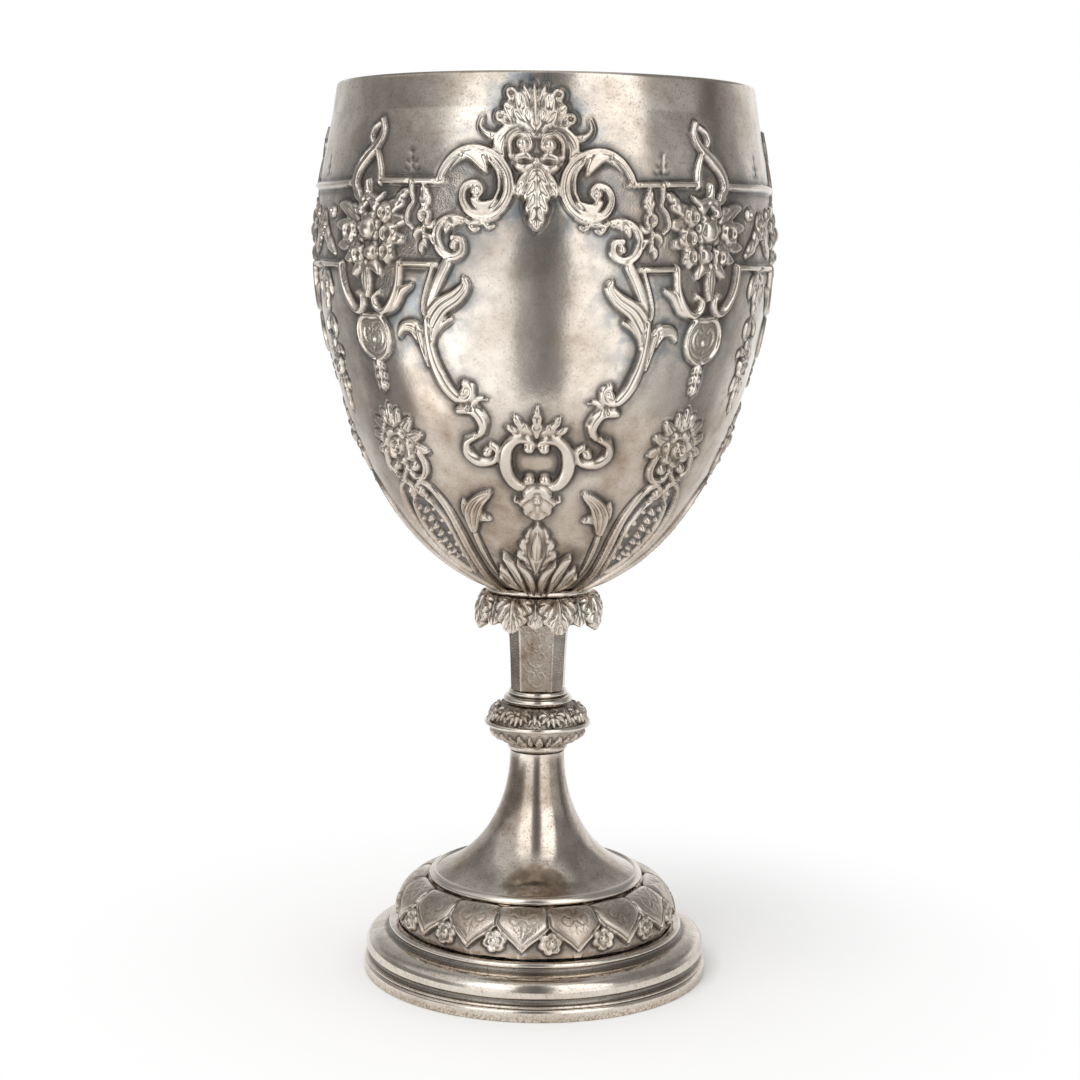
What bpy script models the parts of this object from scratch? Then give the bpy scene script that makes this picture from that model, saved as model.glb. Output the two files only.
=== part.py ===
"""A chased silver presentation goblet, 300 mm tall.

A raised bowl stands on a calyx of turned-down leaves, a stem of canted square section with a
flattened knop, and a spreading foot built up from a trumpet, a leaf-tongue band, a stepped moulding
and an edge ring. A tie rod inside the stem draws the bowl's threaded boss down against a washer in
the trumpet's throat.

Sizes are in millimetres and meshes in metres, +Z up. The origin is the middle of the foot's
underside, and the front of the bowl faces -Y. Each piece is modelled from its own base at height 0
and then placed by its location.
"""

import math

import bmesh
import bpy
import numpy as np
from mathutils import Vector
from mathutils.geometry import delaunay_2d_cdt, interpolate_bezier

MM = 0.001

# Joints between pieces
SEAM = 0.3  # gap where two pieces meet, filled by solder on the real goblet
SEGMENTS = 40  # facets round a large turned piece
SMALL_SEGMENTS = 24  # facets round the knop, the collars and the fasteners

# Foot edge ring: the upright band that the goblet stands on
FOOT_RADIUS = 59.2
EDGE_HEIGHT = 4.2
EDGE_WIDTH = 3.2
EDGE_ROUNDING = 0.5

# Foot moulding: a hollow, a broad rounded nose and a half-round ring on top
MOULDING_HEIGHT = 12.3
MOULDING_SETBACK = 0.6  # how far its bottom edge stands in from the edge ring
HOLLOW_HEIGHT = 3.2
HOLLOW_DEPTH = 0.9
NOSE_SETBACK = 0.8  # how far the nose stays inside the edge ring
NOSE_HEIGHT = 4.3
RING_PROJECTION = 2.9  # how far the half-round ring stands out beyond the band above it
RING_THICKNESS = 2.1
MOULDING_WALL = 1.3
HOLLOW_PULLS = (-0.6, 0.1), (0, -0.4)  # handles of the curve, as shares of its width and height
NOSE_PULLS = (0, 0.25), (0.25, -0.33)

# Leaf-tongue band: a quarter-round swelling with a flange that carries the trumpet
BAND_RADIUS = 47.3
BAND_TOP_RADIUS = 37.3
BAND_HEIGHT = 14.6
BAND_WALL = 1.0
BAND_PULLS = (0.2, 0.37), (0.7, 0)

# Trumpet, with a half-round wire along its edge
TRUMPET_RADIUS = 34.8
TRUMPET_HEIGHT = 44.4
TRUMPET_EDGE_HEIGHT = 2.0
TRUMPET_WALL = 1.1
THROAT_RADIUS = 9.3
FLARE_PULLS = (-0.46, 0.09), (0, -0.58)
FLANGE_WIDTH = 3.2  # how far the band's flange reaches in under the trumpet's edge
EDGE_WIRE_THICKNESS = 2.2
EDGE_WIRE_SEAT_ANGLE = 60.0  # degrees above and below its middle where its back is cut flat

# Collars above and below the knop: turned beads bored for the tie rod
LOWER_COLLAR_HEIGHT = 2.9
LOWER_COLLAR_RADIUS = 10.2
UPPER_COLLAR_HEIGHT = 4.8
UPPER_COLLAR_RADIUS = 11.8
UPPER_COLLAR_TOP_RADIUS = 10.0
UPPER_BEAD_SHARE = 0.55  # of the upper collar's height taken by its larger bead

# Knop: two raised halves that meet under a girdle wire
KNOP_RADIUS = 16.9
KNOP_LOWER_HEIGHT = 5.8
KNOP_UPPER_HEIGHT = 5.9
KNOP_WALL = 1.1
KNOP_NECK_RADIUS = 11.4
KNOP_SHOULDER_RADIUS = 12.6  # its neck under the upper collar
KNOP_PULLS = (0.62, 0.2), (0, -0.62)
GIRDLE_THICKNESS = 1.8
GIRDLE_WEB = 0.6  # thickness of the wire's inner edge, held between the two halves

# Stem tube: a square section with canted corners, flaring slightly towards the top
STEM_HEIGHT = 31.8
STEM_RADIUS = 10.3  # to the corners, at the bottom
STEM_TOP_RADIUS = 12.5
STEM_WAIST = 0.35  # how far the sides curve in at mid height
STEM_BORE_RADIUS = 7.2
STEM_CORNER_ANGLE = 31.0  # degrees from the middle of a broad side to its corner
STEM_TURN = -4.6  # degrees that the stem stands turned from the bowl's front

# Leaf frill: sixteen turned-down leaves under a flange that sits on the stem
FRILL_HEIGHT = 12.7
FRILL_RADIUS = 22.2
FRILL_TIP_RADIUS = 20.6
FRILL_TOP_RADIUS = 17.4
FRILL_WALL = 1.2
FRILL_FLANGE = 1.2
FRILL_TIP_BEVEL = 0.4  # how much higher the leaf tips end inside than outside
FRILL_LEAVES = 16
FRILL_STEPS_PER_LEAF = 4
FRILL_NOTCH = 3.4  # how far the gaps between leaf tips reach up
FRILL_DEPTH = 0.7  # how far the leaf middles stand out beyond the gaps
FRILL_SWELL = 0.5  # height of the widest place, as a share of the leaves' height
LEAF_UNDER_PULLS = (1.0, 0.3), (0, -0.4)
LEAF_OVER_PULLS = (0, 0.5), (0.55, -0.1)

# Collar ring under the bowl
COLLAR_RING_RADIUS = 18.4
COLLAR_RING_HEIGHT = 2.4

# Bowl
BOWL_HEIGHT = 165.5
BOWL_BASE_RADIUS = 17.8
BELLY_RADIUS = 75.8
BELLY_HEIGHT = 111.0
RIM_RADIUS = 68.6
BOWL_WALL = 1.1
RIM_LIP = 0.5  # extra thickness of the rim
BOWL_LOWER_PULLS = (0.75, 0.144), (0, -0.23)
BOWL_UPPER_PULLS = (0, 0.3), (0.92, -0.59)

# Chased relief on the bowl: raised bands, leaves and flowers. Their places are drawn in hundredths of
# the wall's length, across from a drawing's own axis and up along the wall from the bowl's base.
RELIEF_HEIGHT = 0.9
FLOWER_HEIGHT = 1.3
SCROLL_WIDTH = 3.4
TENDRIL_WIDTH = 2.2
STRAP_WIDTH = 1.8
LEAF_WIDTH = 4.6
BROAD_LEAF_WIDTH = 7.4
SHIELD_WIDTH = 13.0
FLOWER_RADIUS = 2.9
PEARL_RADIUS = 1.7
RELIEF_CLEARANCE = 1.6  # bare wall kept between a raised form and the wall's own facet corners
COLUMNS_EACH_SIDE = 3  # columns of flowers between the front cartouche and the one behind
STRAP_HIGH = 81.9
STRAP_LOW = 68.4
VOLUTE_REACH = 16.5  # where the straps end: at the volute, the loop, the cartouche's rail and the curls
LOOP_REACH = 4.7
RAIL_REACH = 16.3
CURL_REACH = 7.7
SEAM_TURN = 1.4  # where the drawing round the wall starts, in column pitches from the front

# Tie rod and what it holds
BOSS_RADIUS = 6.0
BOSS_HEIGHT = 14.0
BOSS_THREAD_DEPTH = 11.0
ROD_RADIUS = 2.5
ROD_END = 2.5  # length of rod left showing below the nut
WASHER_RADIUS = 12.0
WASHER_THICKNESS = 2.5
NUT_RADIUS = 5.6
NUT_THICKNESS = 4.0

NOSE_RADIUS = FOOT_RADIUS - NOSE_SETBACK
COLUMN_PITCH = 180 / (COLUMNS_EACH_SIDE + 1)
RING_RADIUS = BAND_RADIUS + RING_PROJECTION
ROD_HOLE_RADIUS = ROD_RADIUS + SEAM
KNOP_GAP = GIRDLE_WEB + 2 * SEAM

# Heights of each piece's base, from the foot upwards
MOULDING_BASE = EDGE_HEIGHT + SEAM
BAND_BASE = MOULDING_BASE + MOULDING_HEIGHT + SEAM
TRUMPET_BASE = BAND_BASE + BAND_HEIGHT + SEAM
LOWER_COLLAR_BASE = TRUMPET_BASE + TRUMPET_HEIGHT + SEAM
KNOP_LOWER_BASE = LOWER_COLLAR_BASE + LOWER_COLLAR_HEIGHT + SEAM
KNOP_UPPER_BASE = KNOP_LOWER_BASE + KNOP_LOWER_HEIGHT + KNOP_GAP
UPPER_COLLAR_BASE = KNOP_UPPER_BASE + KNOP_UPPER_HEIGHT + SEAM
STEM_BASE = UPPER_COLLAR_BASE + UPPER_COLLAR_HEIGHT + SEAM
FRILL_BASE = STEM_BASE + STEM_HEIGHT + SEAM + FRILL_FLANGE - FRILL_HEIGHT
COLLAR_RING_BASE = FRILL_BASE + FRILL_HEIGHT + SEAM
BOWL_BASE = COLLAR_RING_BASE + COLLAR_RING_HEIGHT + SEAM
BOSS_BASE = BOWL_BASE - SEAM - BOSS_HEIGHT


def curve(start, pulls, end, points):
    """A cubic from start to end; a pull is its handle's offset from that end, as shares of the span."""
    start_pull, end_pull = pulls
    span = Vector((abs(end[0] - start[0]), abs(end[1] - start[1])))
    first = Vector((start[0] + start_pull[0] * span.x, start[1] + start_pull[1] * span.y))
    last = Vector((end[0] + end_pull[0] * span.x, end[1] + end_pull[1] * span.y))
    return [tuple(p) for p in interpolate_bezier(Vector(start), first, last, Vector(end), points)]


def arc(centre, radius, start, end, points):
    """Points on a circle about centre, between two angles in degrees."""
    angles = [math.radians(start + (end - start) * i / (points - 1)) for i in range(points)]
    return [(centre[0] + radius * math.cos(a), centre[1] + radius * math.sin(a)) for a in angles]


def inset(line, depth):
    """The line moved to the left of its direction by depth, its first and last heights kept."""
    moved = []
    for i, (x, z) in enumerate(line):
        before = Vector(line[max(i - 1, 0)])
        after = Vector(line[min(i + 1, len(line) - 1)])
        along = (after - before).normalized()
        moved.append((x - along.y * depth, z + along.x * depth))
    return moved


def height_at(line, radius):
    """The lowest height at which a narrowing line is down to this radius."""
    for (r0, z0), (r1, z1) in zip(line, line[1:]):
        if r1 <= radius <= r0 and r0 > r1:
            return z0 + (z1 - z0) * (r0 - radius) / (r0 - r1)
    return line[-1][1]


def silver(name, colour, roughness):
    """A metal with the colour and gloss of worn, darkened silver."""
    material = bpy.data.materials.new(name)
    material.use_nodes = True
    shader = material.node_tree.nodes["Principled BSDF"]
    shader.inputs["Base Color"].default_value = (*colour, 1.0)
    shader.inputs["Metallic"].default_value = 1.0
    shader.inputs["Roughness"].default_value = roughness
    return material


def place(name, bm, base, material, sharp=40.0):
    """Turns the mesh into an object that stands at height base, in metres."""
    bmesh.ops.remove_doubles(bm, verts=bm.verts, dist=1e-5)
    bmesh.ops.recalc_face_normals(bm, faces=bm.faces)
    bmesh.ops.scale(bm, vec=(MM, MM, MM), verts=bm.verts)
    mesh = bpy.data.meshes.new(name)
    bm.to_mesh(mesh)
    bm.free()
    mesh.materials.append(material)
    mesh.shade_smooth()
    mesh.set_sharp_from_angle(angle=math.radians(sharp))
    obj = bpy.data.objects.new(name, mesh)
    bpy.context.scene.collection.objects.link(obj)
    obj.location.z = base * MM
    obj.parent = goblet
    return obj


def turned(name, profile, base, material, segments=SEGMENTS, closed=True):
    """A piece spun from its half section about the Z axis; an open profile starts and ends on the axis."""
    bm = bmesh.new()
    points = [bm.verts.new((x, 0.0, z)) for x, z in profile]
    ends = zip(points, points[1:] + points[:1] if closed else points[1:])
    edges = [bm.edges.new(pair) for pair in ends]
    bmesh.ops.spin(
        bm,
        geom=points + edges,
        cent=(0, 0, 0),
        axis=(0, 0, 1),
        angle=2 * math.pi,
        steps=segments,
        use_merge=True,
    )
    return place(name, bm, base, material)


def lofted(name, section_at, angles, base, material, sharp=40.0):
    """A ring whose closed half section changes with the angle about the Z axis, in degrees."""
    bm = bmesh.new()
    rings = []
    for angle in angles:
        a = math.radians(angle)
        rings.append([bm.verts.new((r * math.cos(a), r * math.sin(a), z)) for r, z in section_at(angle)])
    for ring, following in zip(rings, rings[1:] + rings[:1]):
        count = len(ring)
        for i in range(count):
            j = (i + 1) % count
            bm.faces.new((ring[i], following[i], following[j], ring[j]))
    return place(name, bm, base, material, sharp)


def foot_edge_ring():
    inner = FOOT_RADIUS - EDGE_WIDTH
    top = FOOT_RADIUS - EDGE_ROUNDING
    profile = [
        (inner, 0),
        (FOOT_RADIUS, 0),
        (FOOT_RADIUS, EDGE_HEIGHT - EDGE_ROUNDING),
        (top, EDGE_HEIGHT),
        (inner, EDGE_HEIGHT),
    ]
    turned("foot_edge_ring", profile, 0, worn_silver)


def foot_moulding():
    bottom = FOOT_RADIUS - MOULDING_SETBACK
    crease = bottom - HOLLOW_DEPTH
    half_ring = RING_THICKNESS / 2
    ring_middle = (RING_RADIUS - half_ring, MOULDING_HEIGHT - half_ring)
    shoulder = (RING_RADIUS, MOULDING_HEIGHT - RING_THICKNESS - SEAM)
    hollow = curve((bottom, 0), HOLLOW_PULLS, (crease, HOLLOW_HEIGHT), 4)
    nose_high = curve((NOSE_RADIUS, NOSE_HEIGHT), NOSE_PULLS, shoulder, 6)
    ring = arc(ring_middle, half_ring, -70, 90, 5)
    outer = hollow + nose_high + ring
    top_inner = RING_RADIUS - RING_THICKNESS - MOULDING_WALL
    inner_start = (bottom - MOULDING_WALL, 0)
    inner = curve(inner_start, NOSE_PULLS, (top_inner, MOULDING_HEIGHT - MOULDING_WALL), 5)
    profile = outer + [(top_inner, MOULDING_HEIGHT)] + inner[::-1]
    turned("foot_moulding", profile, MOULDING_BASE, turned_silver)


def leaf_band():
    flange_radius = TRUMPET_RADIUS - FLANGE_WIDTH
    swelling = curve((BAND_RADIUS, 0), BAND_PULLS, (BAND_TOP_RADIUS, BAND_HEIGHT), 7)
    inner = inset(swelling, BAND_WALL)
    inner[-1] = (inner[-1][0], BAND_HEIGHT - BAND_WALL)
    profile = (
        swelling
        + [(flange_radius, BAND_HEIGHT), (flange_radius, BAND_HEIGHT - BAND_WALL)]
        + inner[::-1]
    )
    turned("leaf_band", profile, BAND_BASE, chased_silver)


def trumpet_outline(depth=0.0):
    """The trumpet's flare, bottom to top, drawn in by depth."""
    edge = (TRUMPET_RADIUS, TRUMPET_EDGE_HEIGHT)
    throat = (THROAT_RADIUS, TRUMPET_HEIGHT)
    flare = curve(edge, FLARE_PULLS, throat, 11)
    return inset([(TRUMPET_RADIUS, 0)] + flare, depth)


def trumpet_foot():
    inner = trumpet_outline(TRUMPET_WALL)
    inner[0] = (TRUMPET_RADIUS - TRUMPET_WALL, 0)
    inner[1] = (inner[0][0], inner[1][1])
    profile = trumpet_outline() + inner[::-1]
    turned("trumpet_foot", profile, TRUMPET_BASE, turned_silver)


def trumpet_edge_wire():
    half = EDGE_WIRE_THICKNESS / 2
    seat = TRUMPET_RADIUS + SEAM
    seat_angle = math.radians(EDGE_WIRE_SEAT_ANGLE)
    centre = (seat + half * math.cos(seat_angle), half)
    back = half * math.sin(seat_angle)
    profile = arc(centre, half, -90, 90, 5) + [(seat, half + back), (seat, half - back)]
    turned("trumpet_edge_wire", profile, TRUMPET_BASE, worn_silver)


def lower_collar():
    half = LOWER_COLLAR_HEIGHT / 2
    bead = arc((LOWER_COLLAR_RADIUS - half, half), half, -90, 90, 5)
    profile = [(ROD_HOLE_RADIUS, 0)] + bead + [(ROD_HOLE_RADIUS, LOWER_COLLAR_HEIGHT)]
    turned("lower_collar", profile, LOWER_COLLAR_BASE, worn_silver, SMALL_SEGMENTS)


def upper_collar():
    split = UPPER_COLLAR_HEIGHT * UPPER_BEAD_SHARE
    half_low = split / 2
    half_high = (UPPER_COLLAR_HEIGHT - split) / 2
    low = arc((UPPER_COLLAR_RADIUS - half_low, half_low), half_low, -90, 70, 5)
    high = arc((UPPER_COLLAR_TOP_RADIUS - half_high, split + half_high), half_high, -60, 90, 5)
    profile = [(ROD_HOLE_RADIUS, 0)] + low + high + [(ROD_HOLE_RADIUS, UPPER_COLLAR_HEIGHT)]
    turned("upper_collar", profile, UPPER_COLLAR_BASE, worn_silver, SMALL_SEGMENTS)


def knop_half(name, neck, height, base, upright):
    """One raised half: a quarter-round wall from neck to girdle, with a flat seat turned in at the neck."""
    wall = curve((neck, 0), KNOP_PULLS, (KNOP_RADIUS, height), 6)
    outer = [(ROD_HOLE_RADIUS, 0)] + wall
    inner = inset(wall, KNOP_WALL)
    inner[0] = (neck, KNOP_WALL)
    profile = outer + inner[::-1] + [(ROD_HOLE_RADIUS, KNOP_WALL)]
    if not upright:
        profile = [(r, height - z) for r, z in profile]
    turned(name, profile, base, chased_silver, SMALL_SEGMENTS)


def knop_girdle_wire():
    """A round wire outside the knop, with a thin inner edge that reaches in between its halves."""
    half = GIRDLE_THICKNESS / 2
    inner = KNOP_RADIUS - KNOP_WALL
    seat = KNOP_RADIUS + SEAM
    bead = arc((KNOP_RADIUS + half / 2, 0), half, -70, 70, 5)
    web = GIRDLE_WEB / 2
    profile = [(inner, -web), (seat, -web)] + bead + [(seat, web), (inner, web)]
    middle = KNOP_LOWER_BASE + KNOP_LOWER_HEIGHT + KNOP_GAP / 2
    turned("knop_girdle_wire", profile, middle, worn_silver, SMALL_SEGMENTS)


def stem_reach(angle, height):
    """The stem's radius in this direction: two broad sides and a canted corner in each quarter."""
    share = height / STEM_HEIGHT
    corner = STEM_RADIUS + (STEM_TOP_RADIUS - STEM_RADIUS) * share
    corner -= STEM_WAIST * math.sin(math.pi * share)
    turn = (angle - STEM_TURN + 45.0) % 90.0 - 45.0
    if abs(turn) <= STEM_CORNER_ANGLE:
        return corner * math.cos(math.radians(STEM_CORNER_ANGLE)) / math.cos(math.radians(turn))
    off_corner = 45.0 - abs(turn)
    half_cant = 45.0 - STEM_CORNER_ANGLE
    return corner * math.cos(math.radians(half_cant)) / math.cos(math.radians(off_corner))


def stem_tube():
    heights = [STEM_HEIGHT * i / 5 for i in range(6)]

    def section(angle):
        outer = [(stem_reach(angle, z), z) for z in heights]
        return outer + [(STEM_BORE_RADIUS, STEM_HEIGHT), (STEM_BORE_RADIUS, 0)]

    within = (-STEM_CORNER_ANGLE, -STEM_CORNER_ANGLE / 2, 0, STEM_CORNER_ANGLE / 2, STEM_CORNER_ANGLE, 45)
    angles = [STEM_TURN + quarter * 90 + a for quarter in range(4) for a in within]
    lofted("stem_tube", section, angles, STEM_BASE, turned_silver, sharp=20.0)


def leaf_frill():
    steps = FRILL_LEAVES * FRILL_STEPS_PER_LEAF
    hole = BOSS_RADIUS + SEAM
    rise = FRILL_HEIGHT - FRILL_FLANGE

    def section(angle):
        gap = math.cos(math.radians(angle * FRILL_LEAVES))  # 1 in a leaf's middle and -1 between two leaves
        low = FRILL_NOTCH * (1 - gap) / 2
        draw = FRILL_DEPTH * (1 - gap) / 2
        swell = (FRILL_RADIUS - draw, rise * FRILL_SWELL)
        tip = (FRILL_TIP_RADIUS - draw, low)
        under = curve(tip, LEAF_UNDER_PULLS, swell, 3)
        over = curve(swell, LEAF_OVER_PULLS, (FRILL_TOP_RADIUS, FRILL_HEIGHT), 4)[1:]
        outer = under + over
        inner = inset(outer[:-1], FRILL_WALL)
        inner[0] = (tip[0] - FRILL_WALL, low + FRILL_TIP_BEVEL)
        inner = [(r, min(z, rise - SEAM)) for r, z in inner]
        flange = [(hole, FRILL_HEIGHT), (hole, rise), (FRILL_TOP_RADIUS - FRILL_WALL, rise)]
        return outer + flange + inner[::-1]

    angles = [360.0 * i / steps for i in range(steps)]
    lofted("leaf_frill", section, angles, FRILL_BASE, chased_silver, sharp=50.0)


def bowl_collar_ring():
    half = COLLAR_RING_HEIGHT / 2
    hole = BOSS_RADIUS + SEAM
    bead = arc((COLLAR_RING_RADIUS - half, half), half, -90, 90, 5)
    profile = [(hole, 0)] + bead + [(hole, COLLAR_RING_HEIGHT)]
    turned("bowl_collar_ring", profile, COLLAR_RING_BASE, worn_silver, SMALL_SEGMENTS)


class Wall:
    """The bowl's outer wall laid flat: a place on it is an azimuth from the front and a length up the wall."""

    def __init__(self, outline):
        self.radii, self.heights = np.array(outline).T
        steps = np.hypot(np.diff(self.radii), np.diff(self.heights))
        self.lengths = np.concatenate([[0], np.cumsum(steps)])
        self.hundredth = self.lengths[-1] / 100
        outward = np.array([np.gradient(self.heights), -np.gradient(self.radii)])
        self.outward = outward / np.hypot(*outward)

    def radius(self, length):
        return np.interp(length, self.lengths, self.radii)

    def spot(self, axis, flip, x, length):
        """The azimuth and length of a place drawn x mm across from an axis."""
        return axis + flip * x / self.radius(length), length

    def across(self, axis, flip, azimuth, length):
        """How far across from an axis these places lie, in mm."""
        return flip * (azimuth - axis) * self.radius(length)

    def point(self, azimuth, length, raised):
        """The place in space of a point on the wall, raised square to it."""
        out, up = (np.interp(length, self.lengths, part) for part in self.outward)
        r = self.radius(length) + raised * out
        z = np.interp(length, self.lengths, self.heights) + raised * up
        return r * math.sin(azimuth), -r * math.cos(azimuth), z


class Band:
    """A raised band with a ridge along its middle, narrowed at its start and end by the taper's shares."""

    def __init__(self, wall, axis, flip, points, width, taper=(0.6, 0.6), cut_off=False):
        self.wall, self.axis, self.flip = wall, axis, flip
        self.line = np.array(points, float) * wall.hundredth
        share = np.linspace(0, 1, len(points))
        self.halves = width / 2 * np.interp(share, [0, 0.5, 1], [taper[0], 1, taper[1]])
        self.tall = RELIEF_HEIGHT
        self.cut_off = cut_off

    def mesh(self):
        """Its corners on the wall and the edges between them: two sides, the ridge and a point at each end."""
        ways = np.gradient(self.line, axis=0)
        ways /= np.hypot(*ways.T)[:, None]
        across = np.column_stack([-ways[:, 1], ways[:, 0]]) * self.halves[:, None]
        rows = [self.line + across, self.line, self.line - across]
        count = len(self.line)
        corners = [p for row in rows for p in row]
        edges = [(row * count + i, row * count + i + 1) for row in range(3) for i in range(count - 1)]
        tips = [(count - 1, 1)] if self.cut_off else [(0, -1), (count - 1, 1)]
        for i, forward in tips:
            corners.append(self.line[i] + forward * ways[i] * self.halves[i])
            edges += [(len(corners) - 1, row * count + i) for row in range(3)]
        return [self.wall.spot(self.axis, self.flip, *p) for p in corners], edges

    def far(self, azimuth, length):
        """Distance from the ridge and the half width there, for many places."""
        x = self.wall.across(self.axis, self.flip, azimuth, length)
        nearest = np.full(len(x), np.inf)
        half = np.ones(len(x))
        for start, end, half0, half1 in zip(self.line, self.line[1:], self.halves, self.halves[1:]):
            way = end - start
            t = np.clip(((x - start[0]) * way[0] + (length - start[1]) * way[1]) / (way @ way), 0, 1)
            off = np.hypot(x - start[0] - t * way[0], length - start[1] - t * way[1])
            closer = off < nearest
            nearest = np.where(closer, off, nearest)
            half = np.where(closer, half0 + (half1 - half0) * t, half)
        return nearest, half


class Knob:
    """A flower or a pearl, as a low point with six sides."""

    def __init__(self, wall, axis, flip, centre, radius):
        self.wall, self.axis, self.flip = wall, axis, flip
        self.centre = np.array(centre, float) * wall.hundredth
        self.reach = radius
        self.tall = FLOWER_HEIGHT

    def mesh(self):
        outline = arc(self.centre, self.reach, 0, 300, 6)
        corners = [self.wall.spot(self.axis, self.flip, *p) for p in [tuple(self.centre)] + outline]
        edges = [(0, i) for i in range(1, len(corners))]
        edges += [(i, i % len(outline) + 1) for i in range(1, len(corners))]
        return corners, edges

    def far(self, azimuth, length):
        x = self.wall.across(self.axis, self.flip, azimuth, length)
        off = np.hypot(x - self.centre[0], length - self.centre[1])
        return off, np.full(len(off), self.reach)


def cartouche(wall, axis):
    """The scrolled frame round the bare field, with its crest, its lower scrolls and the leaves below."""
    forms = []
    for side in (-1, 1):
        volute = [(VOLUTE_REACH, STRAP_HIGH), (14.9, 85.0), (11.9, 86.9), (8.2, 86.4), (5.4, 83.6), (4.9, 80.0)]
        eye = [(6.7, 77.4), (9.6, 76.8), (11.9, 78.3), (12.1, 80.6), (10.4, 81.8)]
        tail = [(6.7, 76.2), (12.5, 75.9), (16.4, 75.0), (16.7, 72.4), (15.1, 70.4), (13.1, 71.2)]
        rail = [(RAIL_REACH, STRAP_LOW), (18.6, 64.5), (19.8, 58.0), (19.0, 52.5), (17.0, 48.3), (14.5, 46.2)]
        rail_eye = [(12.0, 45.9), (11.2, 47.5), (12.7, 48.2)]
        upper_three = [(13.0, 44.2), (10.6, 43.9), (9.1, 41.7), (9.9, 39.9), (12.0, 39.2)]
        lower_three = [(11.2, 38.6), (12.2, 37.4), (11.5, 35.6), (9.4, 34.8), (7.1, 35.6), (6.8, 37.4)]
        facing = [(1.2, 38.6), (3.2, 39.2), (5.0, 37.6), (5.2, 34.0), (3.6, 31.0), (1.2, 30.8)]
        tendril = [(3.4, 89.4), (7.6, 89.0), (9.5, 91.6)]
        forms += [
            Band(wall, axis, side, volute + eye, SCROLL_WIDTH),
            Band(wall, axis, side, tail, TENDRIL_WIDTH),
            Band(wall, axis, side, rail + rail_eye, SCROLL_WIDTH),
            Band(wall, axis, side, upper_three, TENDRIL_WIDTH),
            Band(wall, axis, side, lower_three, TENDRIL_WIDTH),
            Band(wall, axis, side, facing, SCROLL_WIDTH),
            Band(wall, axis, side, tendril, TENDRIL_WIDTH),
            Band(wall, axis, side, [(18.0, 53.5), (18.0, 58.5), (16.2, 62.8), (13.6, 65.6)], BROAD_LEAF_WIDTH),
            Band(wall, axis, side, [(19.8, 52.0), (21.6, 56.4), (24.4, 56.6)], LEAF_WIDTH),
            Band(wall, axis, side, [(1.6, 3.0), (2.0, 9.0), (4.0, 15.6)], LEAF_WIDTH),
            Band(wall, axis, side, [(4.0, 3.5), (5.4, 9.0), (8.2, 13.0)], LEAF_WIDTH),
            Band(wall, axis, side, [(13.0, 15.0), (13.8, 21.0), (11.4, 28.8)], LEAF_WIDTH),
            Knob(wall, axis, side, (2.3, 87.4), FLOWER_RADIUS),
        ]
    forms += [
        Band(wall, axis, 1, [(0, 90.5), (0, 93.5), (0, 96.4)], SHIELD_WIDTH),
        Band(wall, axis, 1, [(0, 84.5), (0, 80.0), (0, 75.4)], LEAF_WIDTH),
        Band(wall, axis, 1, [(0, 40.6), (0, 42.5), (0, 44.6)], BROAD_LEAF_WIDTH),
        Band(wall, axis, 1, [(0, 29.6), (0, 27.0), (0, 24.0)], BROAD_LEAF_WIDTH),
        Band(wall, axis, 1, [(0, 13.0), (0, 18.0), (0, 22.0)], LEAF_WIDTH),
    ]
    return forms


def flower_column(wall, axis, flip):
    """A column from rim to foot: loop, bouquet, two curls, shield, bunch of flowers and basket."""
    loop_left = [(-LOOP_REACH, STRAP_HIGH), (-3.8, 85.0), (-1.4, 88.0), (0.4, 90.4)]
    loop_right = [(LOOP_REACH, STRAP_HIGH), (4.0, 85.0), (1.2, 88.0), (-1.7, 90.2), (-1.0, 92.2)]
    forms = [
        Band(wall, axis, flip, loop_left, TENDRIL_WIDTH),
        Band(wall, axis, flip, loop_right, SCROLL_WIDTH),
        Knob(wall, axis, flip, (-0.4, 74.4), FLOWER_RADIUS),
        Knob(wall, axis, flip, (4.6, 74.6), FLOWER_RADIUS),
        Knob(wall, axis, flip, (-5.8, 75.0), FLOWER_RADIUS),
        Knob(wall, axis, flip, (1.8, 70.8), PEARL_RADIUS),
        Knob(wall, axis, flip, (0, 36.6), FLOWER_RADIUS),
        Band(wall, axis, flip, [(0, 59.8), (0, 57.0), (0, 53.4)], SHIELD_WIDTH),
        Band(wall, axis, flip, [(0, 67.2), (0, 64.2)], LEAF_WIDTH, taper=(0.9, 0.3)),
        Band(wall, axis, flip, [(0, 39.6), (0, 43.6)], LEAF_WIDTH, taper=(0.9, 0.3)),
        Band(wall, axis, flip, [(0, 10.0), (0, 18.0), (0, 24.6)], TENDRIL_WIDTH),
    ]
    for side in (-1, 1):
        curl = [(CURL_REACH, STRAP_LOW), (7.4, 64.6), (5.6, 61.6), (2.6, 61.0), (1.8, 63.2)]
        cup = [(5.1, 35.2), (4.7, 32.4), (2.6, 31.2)]
        strand = [(1.0, 3.0), (2.6, 9.0), (4.0, 15.0), (4.6, 21.5), (4.0, 26.6), (1.8, 28.8)]
        leaf_high = [(6.6, 76.8), (9.0, 77.8)]
        leaf_low = [(5.4, 72.0), (8.2, 71.0)]
        forms += [
            Band(wall, axis, side, curl, TENDRIL_WIDTH),
            Band(wall, axis, side, cup, TENDRIL_WIDTH),
            Band(wall, axis, side, strand, TENDRIL_WIDTH),
            Band(wall, axis, side, leaf_high, LEAF_WIDTH, taper=(0.9, 0.3)),
            Band(wall, axis, side, leaf_low, LEAF_WIDTH, taper=(0.9, 0.3)),
            Band(wall, axis, side, [(3.4, 39.6), (5.0, 42.4)], LEAF_WIDTH, taper=(0.9, 0.3)),
            Knob(wall, axis, side, (4.4, 37.6), PEARL_RADIUS),
        ]
    return forms


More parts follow.
